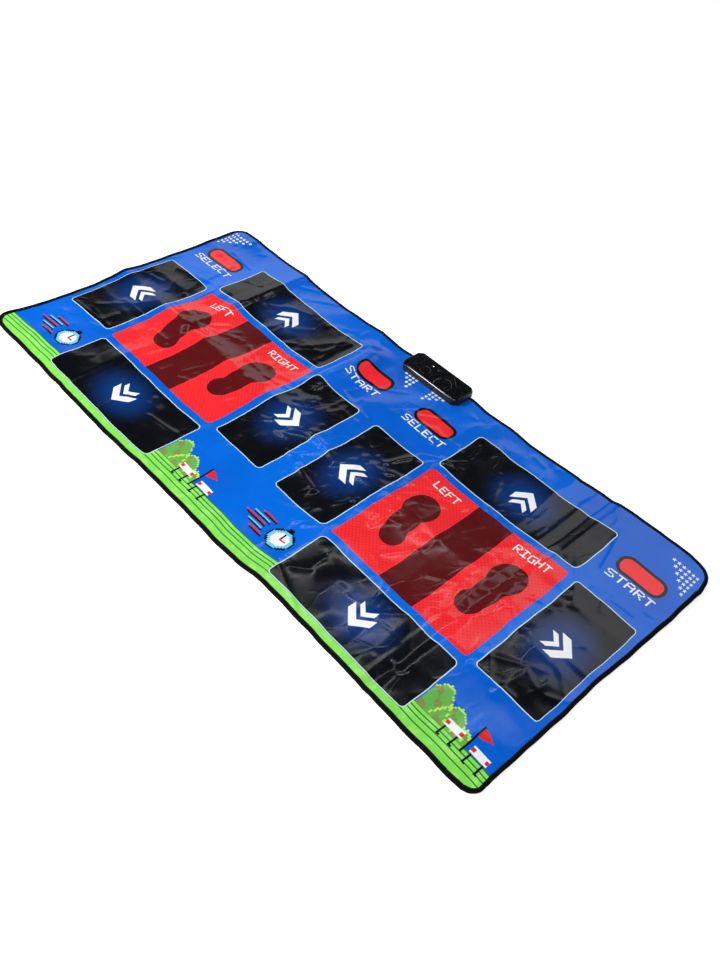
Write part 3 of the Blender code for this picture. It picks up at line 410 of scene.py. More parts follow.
def round_corners(flat, inset):
    """Squeeze the square corner blocks of a sheet into quarter discs."""
    radius = CORNER_RADIUS - inset
    start = np.array((EDGE_X - inset - radius, EDGE_Y - inset - radius))
    share = np.clip((np.abs(flat[:, :2]) - start) / radius, 0.0, 1.0)
    disc = share * np.sqrt(1.0 - share[:, ::-1] ** 2 / 2.0)
    in_block = (share > 0.0).all(axis=1)[:, None]
    flat[:, :2] = np.where(in_block, np.sign(flat[:, :2]) * (start + disc * radius), flat[:, :2])
    return flat


def coordinates(mesh):
    """Return a mesh's points as rows of X, Y and Z."""
    flat = np.empty(len(mesh.vertices) * 3)
    mesh.vertices.foreach_get("co", flat)
    return flat.reshape(-1, 3)


def keep_print_map(mesh, flat):
    """Give a mesh a UV map that holds each point's place on the flat mat, in metres."""
    corners = np.empty(len(mesh.loops), dtype=int)
    mesh.loops.foreach_get("vertex_index", corners)
    places = mesh.uv_layers.new(name="print")
    places.data.foreach_set("uv", flat[corners, :2].astype(np.float32).ravel())


def mesh_of(name, made):
    """Return the mesh of a bmesh."""
    mesh = bpy.data.meshes.new(name)
    made.to_mesh(mesh)
    made.free()
    return mesh


def add_object(name, data):
    """Add a mesh, a lamp or a camera to the scene."""
    added = bpy.data.objects.new(name, data)
    bpy.context.scene.collection.objects.link(added)
    return added


def lay(name, made, *materials, inset=None, is_ink=False):
    """Turn a flat bmesh into a piece that lies as the mat lies, with the print unbent."""
    mesh = mesh_of(name, made)
    flat = coordinates(mesh)
    if inset is not None:
        flat = round_corners(flat, inset)
    if is_ink:
        flat = flat - trim(flat)
    keep_print_map(mesh, flat + trim(flat))
    mesh.vertices.foreach_set("co", lie(flat).ravel())
    mesh.shade_smooth()
    mesh.set_sharp_from_angle(angle=SMOOTH_ANGLE)
    for material in materials:
        mesh.materials.append(material)
    return add_object(name, mesh)


print("grid lines across the top sheet:", len(lines_through((-EDGE_X, EDGE_X), FINE_STEP)))

# %% [markdown]
# Materials are built from nodes by a few short helpers. A Value is a node's output that
# can be added to, multiplied and so on: each sign makes one Math node, so a formula reads
# like arithmetic. Effects that several finishes share are node groups. A group is drawn
# by a function of its inputs that returns its outputs.

# %% Values that do arithmetic
class Value:
    """A node's output, with the arithmetic of Math and Vector Math nodes."""

    def __init__(self, socket):
        self.socket = socket
        self.tree = socket.id_data

    def calc(self, operation, *others):
        """Return the result of a Math node, or of a Vector Math node for a vector."""
        kind = "ShaderNodeVectorMath" if self.socket.type in ("VECTOR", "RGBA") else "ShaderNodeMath"
        return value(self.tree, kind, dict(enumerate((self, *others))), operation=operation)

    def __add__(self, other):
        return self.calc("ADD", other)

    def __sub__(self, other):
        return self.calc("SUBTRACT", other)

    def __mul__(self, other):
        return self.calc("MULTIPLY", other)

    def __truediv__(self, other):
        return self.calc("DIVIDE", other)

    def __abs__(self):
        return self.calc("ABSOLUTE")


# %% Helpers for shader nodes
def put(socket, given):
    """Link a socket to a value, or set it to a constant."""
    if isinstance(given, Value):
        socket.id_data.links.new(given.socket, socket)
    elif given is not None:
        socket.default_value = given


def node(tree, kind, inputs=None, **settings):
    """Add a node with settings, and with inputs by name or number."""
    made = tree.nodes.new(kind)
    for name, setting in settings.items():
        setattr(made, name, setting)
    for key, given in (inputs or {}).items():
        put(made.inputs[key], given)
    return made


def value(tree, kind, inputs=None, out=0, **settings):
    """Add a node and return one of its outputs."""
    return Value(node(tree, kind, inputs, **settings).outputs[out])


def join_xyz(x, y):
    """Return a vector of two values and 0."""
    return value(x.tree, "ShaderNodeCombineXYZ", {0: x, 1: y, 2: 0.0})


def split_xyz(vector):
    """Return the three values of a vector."""
    return [Value(part) for part in node(vector.tree, "ShaderNodeSeparateXYZ", {0: vector}).outputs]


def length(vector):
    """Return the length of a vector."""
    return value(vector.tree, "ShaderNodeVectorMath", {0: vector}, "Value", operation="LENGTH")


def ramp(given, low, high, start=0.0, end=1.0):
    """Return a smooth ramp between two values of the input."""
    return value(given.tree, "ShaderNodeMapRange", {0: given, 1: low, 2: high, 3: start, 4: end},
                 interpolation_type="SMOOTHSTEP")


def inside(distance, edge=0.0, soft=0.0004):
    """Return 1 where a distance is below an edge, and 0 beyond it."""
    return ramp(distance, edge - soft, edge + soft, 1.0, 0.0)


def over(mask, colour, under):
    """Return one colour laid over another where a mask is 1."""
    return value(mask.tree, "ShaderNodeMix", {0: mask, 6: under, 7: colour}, 2, data_type="RGBA")


def noise(place, scale, detail=3.0, kind="FBM", out=0):
    """Return an output of a noise texture."""
    return value(place.tree, "ShaderNodeTexNoise", {"Vector": place, "Scale": scale, "Detail": detail}, out,
                 noise_type=kind)


def largest(values):
    """Return the largest of some values."""
    first, *others = values
    for other in others:
        first = first.calc("MAXIMUM", other)
    return first


def make_group(name, inputs, outputs, draw):
    """Make a node group whose outputs a function draws from its inputs."""
    tree = bpy.data.node_groups.new(name, "ShaderNodeTree")
    for labels, way in ((inputs, "INPUT"), (outputs, "OUTPUT")):
        for label, kind in labels.items():
            tree.interface.new_socket(label, in_out=way, socket_type=f"NodeSocket{kind}")
    given = tree.nodes.new("NodeGroupInput").outputs
    result = tree.nodes.new("NodeGroupOutput")
    for label, drawn in zip(outputs, draw(*[Value(given[label]) for label in inputs])):
        put(result.inputs[label], drawn)
    return tree


def use_group(group, *given):
    """Place a group in the tree of its first input and return its outputs."""
    made = given[0].tree.nodes.new("ShaderNodeGroup")
    made.node_tree = group
    for socket, entry in zip(made.inputs, given):
        put(socket, entry)
    return [Value(socket) for socket in made.outputs]


def srgb(red, green, blue):
    """Return a colour as the shader wants it, from the 0 to 255 of a picture."""
    parts = [part / 255 for part in (red, green, blue)]
    return (*[part / 12.92 if part < 0.04045 else ((part + 0.055) / 1.055) ** 2.4 for part in parts], 1.0)


def shader_input(material, label):
    """Return an input of a material's Principled shader."""
    return material.node_tree.nodes["Principled BSDF"].inputs[label]


def new_material(name, **constants):
    """Return a material with constant inputs of its shader set."""
    material = bpy.data.materials.new(name)
    material.use_nodes = True
    for label, constant in constants.items():
        put(shader_input(material, label.replace("_", " ")), constant)
    return material


def dress(material, colour, rough=None, height=None, depth=0.0, strength=1.0):
    """Give a material its colour, its roughness and a bump whose full height is a depth in metres."""
    put(shader_input(material, "Base Color"), colour)
    put(shader_input(material, "Roughness"), rough)
    if height is not None:
        given = {"Height": height, "Distance": depth, "Strength": strength}
        put(shader_input(material, "Normal"), value(height.tree, "ShaderNodeBump", given))
    return material


def flat_place(material):
    """Return a point's place on the flat mat, from the piece's own map."""
    return value(material.node_tree, "ShaderNodeUVMap", uv_map="print")


def object_place(material):
    """Return a point's place in the object's own frame."""
    return value(material.node_tree, "ShaderNodeTexCoord", out="Object")


# %% [markdown]
# Two small groups draw the print. One measures how far a point is from a rectangle with
# round corners: below zero inside, above zero outside. Such a distance makes a filled
# shape, a rim or a soft glow, each by one more ramp. The other does the same for an
# ellipse. Shapes drawn this way stay sharp at any size.

# %% Shapes measured by distance
def draw_rounded_box(point, half, radius):
    """Return the distance to a rectangle with round corners round the origin."""
    x, y, _ = split_xyz(abs(point) - half + join_xyz(radius, radius))
    outside = length(join_xyz(x, y).calc("MAXIMUM", (0.0, 0.0, 0.0)))
    within = x.calc("MAXIMUM", y).calc("MINIMUM", 0.0)
    return (outside + within - radius,)


def draw_ellipse(point, centre, half):
    """Return roughly the distance to an ellipse."""
    share = length((point - centre) / half) - 1.0
    x, y, _ = split_xyz(half)
    return (share * x.calc("MINIMUM", y),)


ROUNDED_BOX = make_group("rounded box", {"Point": "Vector", "Half": "Vector", "Radius": "Float"},
                         {"Distance": "Float"}, draw_rounded_box)
ELLIPSE = make_group("ellipse", {"Point": "Vector", "Centre": "Vector", "Half": "Vector"},
                     {"Distance": "Float"}, draw_ellipse)


def box_distance(x, y, half_x, half_y, radius):
    """Return the distance to a rounded rectangle round the origin of X and Y."""
    return use_group(ROUNDED_BOX, join_xyz(x, y), (half_x, half_y, 0.0), radius)[0]


# %% [markdown]
# The print itself is one group over the whole mat, fed by the flat place of a point. It
# works in station terms: taking the sign of X off gives both players the same picture,
# and taking the sign off again inside a station draws opposite pads at once. The real
# mat is printed in one pass in the same way, so the pads need no paint of their own.

# %% Colours of the print
BLUE, DEEP_BLUE = srgb(0, 108, 228), srgb(0, 94, 208)
PAD_BLACK, PAD_GLOW, PAD_LINE = srgb(8, 10, 16), srgb(8, 60, 132), srgb(206, 236, 244)
FIELD_RED, DOT_RED = srgb(252, 46, 52), srgb(176, 16, 26)
MAROON, SOLE_RIM = srgb(92, 18, 22), srgb(52, 14, 18)
TRACK_GREEN, PALE_GREEN, LANE_GREEN = srgb(134, 230, 88), srgb(160, 242, 112), srgb(22, 96, 62)
PILL_RED, OUTLINE_BLACK = srgb(252, 42, 50), srgb(9, 9, 12)
WHITE_INK = srgb(248, 249, 250)

# %% Places on a station
LONG_Y = middle(PADS["p2_up"]).y - STATION_Y
SIDE_X = middle(PADS["p2_right"]).x - STATION_X
PAD_RADIUS = 0.012
LINE_WIDTH, LINE_SOFT = 0.0020, 0.0006
GLOW_REACH = (0.118, 0.092, 1.0)
FIELD_HALF, FIELD_RADIUS = (0.200, 0.160), 0.007
BAND_HALF = 0.050
MENU_Y = middle(PADS["p2_start"]).y - STATION_Y
MENU_HALF = (0.0605, 0.0288)
MENU_RADIUS, MENU_RIM = 0.026, 0.008
TRACK_EDGE = -0.302
LANES = (0.0012, 0.0105, 0.0202, 0.0335)
LANE_WIDTH = 0.0024
DOT_PITCH, DOT_RADIUS = 0.011, 0.0011
# The sole: forefoot, waist and heel as centre and half size
SOLE_PARTS = (
    ((0.1260, 0.0450), (0.0405, 0.0480)),
    ((0.1230, -0.0070), (0.0295, 0.0600)),
    ((0.1140, -0.0560), (0.0300, 0.0335)),
)
SOLE_EDGE, SOLE_MELT = 0.0012, 0.008
# The two arrow heads of a pad: tip, thickness and half width
CHEVRONS = ((0.0335, 0.0220, 0.0325), (0.0000, 0.0140, 0.0215))
CHEVRON_SLOPE = 0.89


def half_size(pad):
    """Return half of a pad's length and width."""
    low, high = PADS[pad]
    return (high.x - low.x) / 2, (high.y - low.y) / 2


def chevrons(aside, outward):
    """Return the mask of two arrow heads that point outwards, the outer one larger."""
    height = outward + aside * CHEVRON_SLOPE
    return largest([inside(abs(height - (tip - thickness / 2)), thickness / 2) * inside(aside, half_width)
                    for tip, thickness, half_width in CHEVRONS])


def draw_print(place):
    """Return the colour of the print at a place on the flat mat."""
    x, y, _ = split_xyz(place)
    u = x - x.calc("SIGN") * STATION_X
    v = y - STATION_Y
    wide, high = abs(u), abs(v)
    colour = over(ramp(noise(place, 2.6, 2.0), 0.35, 0.65), BLUE, DEEP_BLUE)

    track = over(ramp(noise(place, 38.0), 0.45, 0.7), PALE_GREEN, TRACK_GREEN)
    for lane in LANES:
        track = over(inside(abs(v - (TRACK_EDGE - lane)), LANE_WIDTH / 2), LANE_GREEN, track)
    colour = over(inside(v, TRACK_EDGE), track, colour)

    row = (v / (DOT_PITCH / 2)).calc("ROUND")
    shift = row.calc("MODULO", 2.0) * (DOT_PITCH / 2)
    dot = join_xyz((u + shift).calc("PINGPONG", DOT_PITCH / 2), v.calc("PINGPONG", DOT_PITCH / 4))
    red = over(inside(length(dot), DOT_RADIUS), DOT_RED, FIELD_RED)
    red = over(inside(wide, BAND_HALF), MAROON, red)
    sole, *others = [use_group(ELLIPSE, join_xyz(wide, v), (*centre, 0.0), (*half, 1.0))[0]
                     for centre, half in SOLE_PARTS]
    for part in others:
        sole = sole.calc("SMOOTH_MIN", part, SOLE_MELT)
    red = over(inside(sole), SOLE_RIM, red)
    red = over(inside(sole, -SOLE_EDGE, 0.001), MAROON, red)
    colour = over(inside(box_distance(u, v, *FIELD_HALF, FIELD_RADIUS)), red, colour)

    from_long, from_side = high - LONG_Y, wide - SIDE_X
    long_pad = box_distance(u, from_long, *half_size("p2_up"), PAD_RADIUS)
    side_pad = box_distance(from_side, v, *half_size("p2_left"), PAD_RADIUS)
    pad = long_pad.calc("MINIMUM", side_pad)
    on_pad = value(place.tree, "ShaderNodeMix", {
        0: side_pad.calc("LESS_THAN", long_pad), 4: join_xyz(wide, from_long), 5: join_xyz(high, from_side),
    }, 1, data_type="VECTOR")
    aside, outward, _ = split_xyz(on_pad)
    away = length(join_xyz(aside, outward) / GLOW_REACH)
    black = over(ramp(away, 0.05, 1.0, 1.0, 0.0), PAD_GLOW, PAD_BLACK)
    black = over(chevrons(aside, outward), WHITE_INK, black)
    rim = inside(pad) * ramp(pad, -LINE_WIDTH - LINE_SOFT, -LINE_WIDTH)
    black = over(rim, PAD_LINE, black)
    colour = over(inside(pad), black, colour)

    pill = box_distance(from_side, v - MENU_Y, *MENU_HALF, MENU_RADIUS)
    colour = over(inside(pill), OUTLINE_BLACK, colour)
    return (over(inside(pill, -MENU_RIM), PILL_RED, colour),)


MAT_PRINT = make_group("mat print", {"Place": "Vector"}, {"Colour": "Color"}, draw_print)
print("print nodes:", len(MAT_PRINT.nodes))

# %% [markdown]
# Printed vinyl is soft and glossy, and it never relaxes fully. Fine creases catch the
# light all over it, more of them across the mat than along it. A group gives their
# height from the flat place, so the pads and the sheet between them share them.

# %% The surface of the vinyl
VINYL_DEPTH = 0.0011


def draw_vinyl(place):
    """Return the height of fine creases and the gloss of soft vinyl."""
    bent = place + noise(place, 9.0, 2.0, out="Color") * (0.06, 0.06, 0.0)
    cells = value(place.tree, "ShaderNodeTexVoronoi", {"Vector": bent * (1.0, 0.55, 1.0), "Scale": 17.0},
                  feature="DISTANCE_TO_EDGE")
    folds = ramp(cells, 0.0, 0.07, 1.0, 0.0) * ramp(noise(place, 6.0, 2.0), 0.42, 0.68)
    crumple = noise(bent, 42.0, 4.0, "RIDGED_MULTIFRACTAL")
    waves = noise(place * (1.0, 0.35, 1.0), 55.0, 2.0)
    grain = noise(place, 1700.0, 1.0)
    height = folds * 0.22 + crumple * 0.03 + waves * 0.08 + grain * 0.004
    return height, ramp(noise(bent, 24.0, 5.0), 0.3, 0.75, 0.13, 0.21)


SOFT_VINYL = make_group("soft vinyl", {"Place": "Vector"}, {"Height": "Float", "Roughness": "Float"},
                        draw_vinyl)


def make_vinyl(name, paint):
    """Return soft vinyl with the colour that a function draws from a flat place."""
    material = new_material(name, IOR=1.5)
    place = flat_place(material)
    height, rough = use_group(SOFT_VINYL, place)
    return dress(material, paint(place), rough, height, VINYL_DEPTH)


PRINTED_VINYL = make_vinyl("printed_vinyl", lambda place: use_group(MAT_PRINT, place)[0])

# %% [markdown]
# Under the print lie plain sheets that only show from below or at a lifted edge: a
# woven backing with a grip, clear films with printed silver tracks, and open-cell foam.
# Their weave and cells are at real scale, in the same flat places.

# %% The hidden sheets and the tape
TRACK_PITCH, TRACK_HALF = 0.009, 0.0012


def draw_weave(place, pitch):
    """Return the height and the mask of a plain weave, by the pitch of its threads."""
    turns = value(place.tree, "ShaderNodeMath", {0: math.pi, 1: pitch}, operation="DIVIDE")
    x, y, _ = split_xyz(value(place.tree, "ShaderNodeVectorMath", {0: place, 3: turns}, operation="SCALE"))
    height = abs(x.calc("SINE")).calc("MAXIMUM", abs(y.calc("SINE"))) + (x + y).calc("SINE") * 0.5
    return height, ramp(height, 0.4, 1.3)


PLAIN_WEAVE = make_group("plain weave", {"Place": "Vector", "Pitch": "Float"},
                         {"Height": "Float", "Thread": "Float"}, draw_weave)


def make_woven(name, light, dark, pitch, depth, roughness, gloss):
    """Return a woven material, lighter on the raised weave and darker in its low gaps as painted shade, with
    some fluff.
    """
    material = new_material(name, Specular_IOR_Level=gloss)
    place = flat_place(material)
    height, thread = use_group(PLAIN_WEAVE, place, pitch)
    fluff = noise(place, 420.0)
    # Painted shade: the colour follows the weave's height and is dark in the low gaps between threads; the
    # fluff varies the tone at random.
    shade = thread * ramp(fluff, 0.25, 0.8, 0.5, 1.0)
    return dress(material, over(shade, light, dark), ramp(fluff, 0.2, 0.8, roughness, 0.95),
                 height + fluff * 0.5, depth)


def make_foam():
    """Return open-cell foam, white with small darker pits."""
    material = new_material("spacer_foam")
    place = flat_place(material)
    pits = ramp(value(place.tree, "ShaderNodeTexVoronoi", {"Vector": place, "Scale": 900.0}), 0.2, 0.6)
    return dress(material, over(pits, srgb(206, 204, 198), srgb(236, 235, 230)),
                 ramp(noise(place, 60.0), 0.3, 0.7, 0.8, 0.95), pits, 0.0003)


def make_film():
    """Return contact film with printed silver tracks in a grid."""
    material = new_material("contact_film")
    place = flat_place(material)
    x, y, _ = split_xyz(place)
    nearest = x.calc("PINGPONG", TRACK_PITCH).calc("MINIMUM", y.calc("PINGPONG", TRACK_PITCH))
    tracks = inside(nearest, TRACK_HALF, 0.0003)
    return dress(material, over(tracks, srgb(164, 168, 172), srgb(206, 214, 218)),
                 ramp(noise(place, 80.0), 0.3, 0.7, 0.28, 0.45), tracks, 0.00003)


# The dark tone of each cloth is painted shade in the low gaps of its weave.
BACKING = make_woven("backing_cloth", srgb(52, 53, 58), srgb(20, 20, 23), 0.0026, 0.0003, 0.75, 0.3)
TAPE_CLOTH = make_woven("binding_tape", srgb(12, 12, 14), srgb(3, 3, 4), 0.0011, 0.00022, 0.7, 0.12)
FOAM = make_foam()
FILM = make_film()

# %% [markdown]
# Now the sheets. Each layer is one grid in the frame's three panels, with a strip between
# two panels at each fold line. The windows under the pads are cut from the layers
# that have them. The sheets are laid loose, and their flat size is what they were cut to.

# %% Make the sheets
LAYERS = (
    ("bottom_sheet", "backing", "backing_cloth", BACKING, False, COARSE_STEP),
    ("lower_film", "lower_contacts", "contact_film", FILM, False, FILM_STEP),
    ("foam_spacer", "foam", "spacer_foam", FOAM, True, COARSE_STEP),
    ("upper_film", "upper_contacts", "contact_film", FILM, True, COARSE_STEP),
    ("top_sheet", "vinyl", "printed_vinyl", PRINTED_VINYL, True, FINE_STEP),
)
PANELS = {
    "left": ("left_panel", -EDGE_X, -FOLD_OUT),
    "centre": ("mat_centre", -FOLD_IN, FOLD_IN),
    "right": ("right_panel", FOLD_OUT, EDGE_X),
}
STRIPS = {
    "left": (-FOLD_OUT, -FOLD_IN),
    "right": (FOLD_IN, FOLD_OUT),
}
# The box grips the mat's edge in a slot, a little wider in the backing
SLOT_X, SLOT_Y = BOX_HIGH.x - 0.012, BOX_LOW.y + 0.014
SLOT_IN_FLOOR = 0.0005
RIM_IN, RIM_SLACK, RIM_RISE = TAPE_WIDTH + 0.0003, 0.0001, 0.0009
# The windows of the foam are wider than the pads
FOAM_ROOM = 0.0016


def raise_rim(made):
    """Lift the backing's underside at its rim, where the tape goes under it."""
    reach = RIM_IN + RIM_SLACK
    for vert in made.verts:
        at_rim = abs(vert.co.x) > EDGE_X - reach or abs(vert.co.y) > EDGE_Y - reach
        if at_rim and vert.co.z < RIM_RISE:
            vert.co.z = RIM_RISE


def declare_laid(width, length, area):
    """Take the smaller of an area and of a width times a length, and keep nothing."""
    min(area, width * length)


def make_sheet(name, layer, xs, ys, base, top, inset, cuts):
    node_name, _, slot, material, _, _ = layer
    made = grid(xs, ys)
    for low, high in cuts:
        clear_window(made, low, high)
    area = sum(face.calc_area() for face in made.faces)
    thicken(made, base, top)
    if node_name == "bottom_sheet":
        raise_rim(made)
    piece = lay(name, made, material, inset=inset)
    declare_laid(xs[-1] - xs[0], ys[-1] - ys[0], area)
    return piece


def blend_over_fold(piece, side):
    """Bake a strip's placing into its mesh. The strip is not bent here."""
    if side == "left":
        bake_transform(piece)
    else:
        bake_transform(piece)


def make_layer(layer):
    """Make a layer's three panels and its two fold strips."""
    node_name, short, _, _, has_windows, step = layer
    low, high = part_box(f"left_{node_name}")
    inset = EDGE_X + low.x
    edge_x, edge_y = EDGE_X - inset, EDGE_Y - inset
    room = FOAM_ROOM if node_name == "foam_spacer" else 0.0
    windows = [((low_end.x - room, low_end.y - room), (high_end.x + room, high_end.y + room))
               for low_end, high_end in PADS.values()]
    cuts = list(windows) if has_windows else []
    grow = BOX_HIGH.x - SLOT_X + SLOT_IN_FLOOR if node_name == "bottom_sheet" else 0.0
    cuts.append(((-SLOT_X - grow, SLOT_Y - grow), (SLOT_X + grow, EDGE_Y)))
    fold_lines = lines_through((FOLD_IN, FOLD_OUT), FOLD_STEP)
    x_stops = [0.0, edge_x, EDGE_X - CORNER_RADIUS, EDGE_X - RIM_IN, *fold_lines]
    y_stops = [0.0, edge_y, EDGE_Y - CORNER_RADIUS, EDGE_Y - RIM_IN]
    # Lines run through the windows' sides in every layer, so that all creases bend alike
    corners = [corner for cut in (*windows, *cuts) for corner in cut]
    x_stops += [-stop for stop in x_stops] + [corner[0] for corner in corners]
    y_stops += [-stop for stop in y_stops] + [min(corner[1], edge_y) for corner in corners]
    xs, ys = lines_through(x_stops, step), lines_through(y_stops, step)
    for panel, (body, start, end) in PANELS.items():
        part = between(xs, max(start, -edge_x), min(end, edge_x))
        piece = make_sheet(f"{panel}_{short}", layer, part, ys, low.z, high.z, inset, cuts)
        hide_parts(f"{panel}_{node_name}")
        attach(piece, body)
    for side, (start, end) in STRIPS.items():
        piece = make_sheet(f"{side}_fold_{short}", layer, between(xs, start, end), ys, low.z, high.z,
                           inset, cuts)
        blend_over_fold(piece, side)
    return xs, ys


for layer in LAYERS:
    top_lines = make_layer(layer)
print("top sheet lines:", [len(lines) for lines in top_lines])

# %% [markdown]
# A pad is the part of the top sheet, with its film, that a foot presses. It is cut from
# the same grid lines, so at rest no gap shows round it, and it carries the same print.
# It is as thick as vinyl and film together, which leaves room for the creases below it.

# %% Make the pads
PAD_THICKNESS = 0.0008


def make_pad(name, low, high):
    """Make one pad as a plate of vinyl and film."""
    xs, ys = top_lines
    made = grid(between(xs, low.x, high.x), between(ys, low.y, high.y))
    area = sum(face.calc_area() for face in made.faces)
    thicken(made, high.z - PAD_THICKNESS, high.z)
    pad = lay(f"{name}_vinyl", made, PRINTED_VINYL)
    declare_laid(high.x - low.x, high.y - low.y, area)
    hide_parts(f"{name}_pad")
    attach(pad, name)


for name, (low, high) in PADS.items():
    make_pad(name, low, high)
print("pads:", len(PADS))

# %% [markdown]
# The edge is bound with woven tape, folded round it and sewn through. Its section is a
# thin U that lies on its side, with a round nose outside. A grid is bent into it: one
# way runs along the edge of the mat, the other round the section. A row of stitches
# stands on its inner edge, above and below.

# %% Make the binding tape
TAPE_STEP = 0.005
TAPE_THICKNESS = 0.0006
NOSE = 0.0018
LONG_SIDE_WIDTH = 0.0095
END_WIDTHS = {"left": 0.013, "right": 0.0105}
STITCH_PITCH = 0.0046
STITCH_FROM_RIM = 0.0022
STITCH_HALF, STITCH_RISE = (0.0017, 0.00045, 0.0003), 0.0001
# The section: points of its nose, and where along its top it bulges and how much
NOSE_POINTS, BULGE_AT, BULGE = 9, 0.6, 0.00012
ARC_STEPS = 12


def tape_section():
    """Return the tape's closed section: shares of its width and of its nose, and heights."""
    half = TAPE_TOP / 2
    nose = [(0.0, 1 - math.cos(turn), half * (1 + math.sin(turn)))
            for turn in np.linspace(math.pi / 2, -math.pi / 2, NOSE_POINTS)]
    outer = [(1.0, 0.0, TAPE_TOP), (BULGE_AT, 0.0, TAPE_TOP + BULGE), *nose, (BULGE_AT, 0.0, 0.0),
             (1.0, 0.0, 0.0)]
    inner = [(1.0, 0.0, TAPE_THICKNESS), (0.0, 1.0, TAPE_THICKNESS), (0.0, TAPE_THICKNESS / NOSE, half),
             (0.0, 1.0, TAPE_TOP - TAPE_THICKNESS), (1.0, 0.0, TAPE_TOP - TAPE_THICKNESS)]
    return outer + inner


def straight_run(start_x, end_x, side_y, step=TAPE_STEP):
    """Return places and outward directions along a straight part of the edge."""
    xs = lines_through((start_x, end_x), step)
    places = np.stack((xs, np.full_like(xs, side_y * EDGE_Y)), axis=1)
    return places, np.tile((0.0, float(side_y)), (len(xs), 1))


def end_run(sign):
    """Return places and outward directions round one end of the mat."""
    inner_x, inner_y = EDGE_X - CORNER_RADIUS, EDGE_Y - CORNER_RADIUS
    turns = np.linspace(0.0, math.pi / 2, ARC_STEPS + 1)
    out = np.stack((np.sin(turns), np.cos(turns)), axis=1)
    far, upward = straight_run(FOLD_OUT, inner_x, 1)
    places = np.concatenate((far[:-1], np.array((inner_x, inner_y)) + CORNER_RADIUS * out))
    directions = np.concatenate((upward[:-1], out))
    side = lines_through((-inner_y, inner_y), TAPE_STEP)[1:-1][::-1]
    down = np.stack((np.full_like(side, EDGE_X), side), axis=1)
    outward = np.tile((1.0, 0.0), (len(down), 1))
    mirror = np.array((1.0, -1.0))
    turned = np.array((float(sign), 1.0))
    return (np.concatenate((places, down, places[::-1] * mirror)) * turned,
            np.concatenate((directions, outward, directions[::-1] * mirror)) * turned)


def add_stitches(made, places, directions, widths):
    """Add thread stitches along the tape, above it and below it."""
    steps = np.hypot(*np.diff(places, axis=0).T)
    along = np.concatenate(((0.0,), np.cumsum(steps)))
    count = int(along[-1] / STITCH_PITCH)
    for place in (np.arange(count) + 0.5) * along[-1] / count:
        x, y = (np.interp(place, along, places[:, axis]) for axis in (0, 1))
        out_x, out_y = (np.interp(place, along, directions[:, axis]) for axis in (0, 1))
        inset = np.interp(place, along, widths) - STITCH_FROM_RIM
        turn = math.atan2(out_y, out_x) - math.pi / 2
        for height in (TAPE_TOP + STITCH_RISE, STITCH_RISE):
            centre = Vector((x - out_x * inset, y - out_y * inset, height))
            turned = Matrix.Rotation(turn, 4, "Z") @ Matrix.Diagonal((*STITCH_HALF, 1.0))
            placing = Matrix.Translation(centre) @ turned
            sewn = bmesh.ops.create_icosphere(made, subdivisions=1, radius=1.0, matrix=placing)
            for face in {face for vert in sewn["verts"] for face in vert.link_faces}:
                face.material_index = 1


def make_tape(name, places, directions, end_width=LONG_SIDE_WIDTH):
    """Bend a grid round the edge of the mat and sew it on."""
    section = tape_section()
    widths = LONG_SIDE_WIDTH + (end_width - LONG_SIDE_WIDTH) * np.abs(directions[:, 0])

    def wrap(column, row):
        """Return a point of the section at a place along the edge."""
        share, bend, height = section[row % len(section)]
        x, y = places[column] - directions[column] * (share * widths[column] + bend * NOSE)
        return x, y, height

    made = bent_grid(len(places) - 1, len(section), wrap)
    bmesh.ops.remove_doubles(made, verts=made.verts[:], dist=WELD)
    open_ends = [edge for edge in made.edges if edge.is_boundary]
    bmesh.ops.holes_fill(made, edges=open_ends, sides=0)
    bmesh.ops.recalc_face_normals(made, faces=made.faces[:])
    add_stitches(made, places, directions, widths)
    tape = lay(name, made, TAPE_CLOTH, THREAD)
    return tape


def make_thread():
    """Return black sewing thread with a twist."""
    material = new_material("sewing_thread", Roughness=0.55)
    place = object_place(material)
    twist = value(place.tree, "ShaderNodeTexWave", {"Vector": place, "Scale": 700.0, "Distortion": 1.5},
                  "Fac", bands_direction="DIAGONAL")
    return dress(material, over(twist, srgb(50, 50, 54), srgb(22, 22, 25)), height=twist, depth=0.0001)


THREAD = make_thread()
# The tape stops just beside the box
BOX_SIDE = BOX_HIGH.x + 0.0005
TAPES = {
    "near_tape": ("near_binding", straight_run(-FOLD_IN, FOLD_IN, -1), "mat_centre"),
    "far_left_tape": ("far_left_binding", straight_run(-FOLD_IN, -BOX_SIDE, 1), "mat_centre"),
    "far_right_tape": ("far_right_binding", straight_run(BOX_SIDE, FOLD_IN, 1), "mat_centre"),
    "left_tape": ("left_binding", (*end_run(-1), END_WIDTHS["left"]), "left_panel"),
    "right_tape": ("right_binding", (*end_run(1), END_WIDTHS["right"]), "right_panel"),
}
for node_name, (name, run, body) in TAPES.items():
    tape = make_tape(name, *run)
    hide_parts(node_name)
    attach(tape, body)
for side, (start, end) in STRIPS.items():
    for edge, side_y in (("near", -1), ("far", 1)):
        strip = make_tape(f"{side}_fold_{edge}_binding", *straight_run(start, end, side_y, FOLD_STEP))
        blend_over_fold(strip, side)
print("tape pieces:", len(TAPES) + 2 * len(STRIPS))

# %% [markdown]
# White ink lies over the blue and the red: a legend by each button and each sole, and
# triangles of dots or stars in the far corners and beside the box. The letters are
# blocks on a small raster, so each is a grid with faces deleted by a pattern of marks. A
# decal is a tenth of a millimetre thick and goes through the same lie as the sheet under
# it.

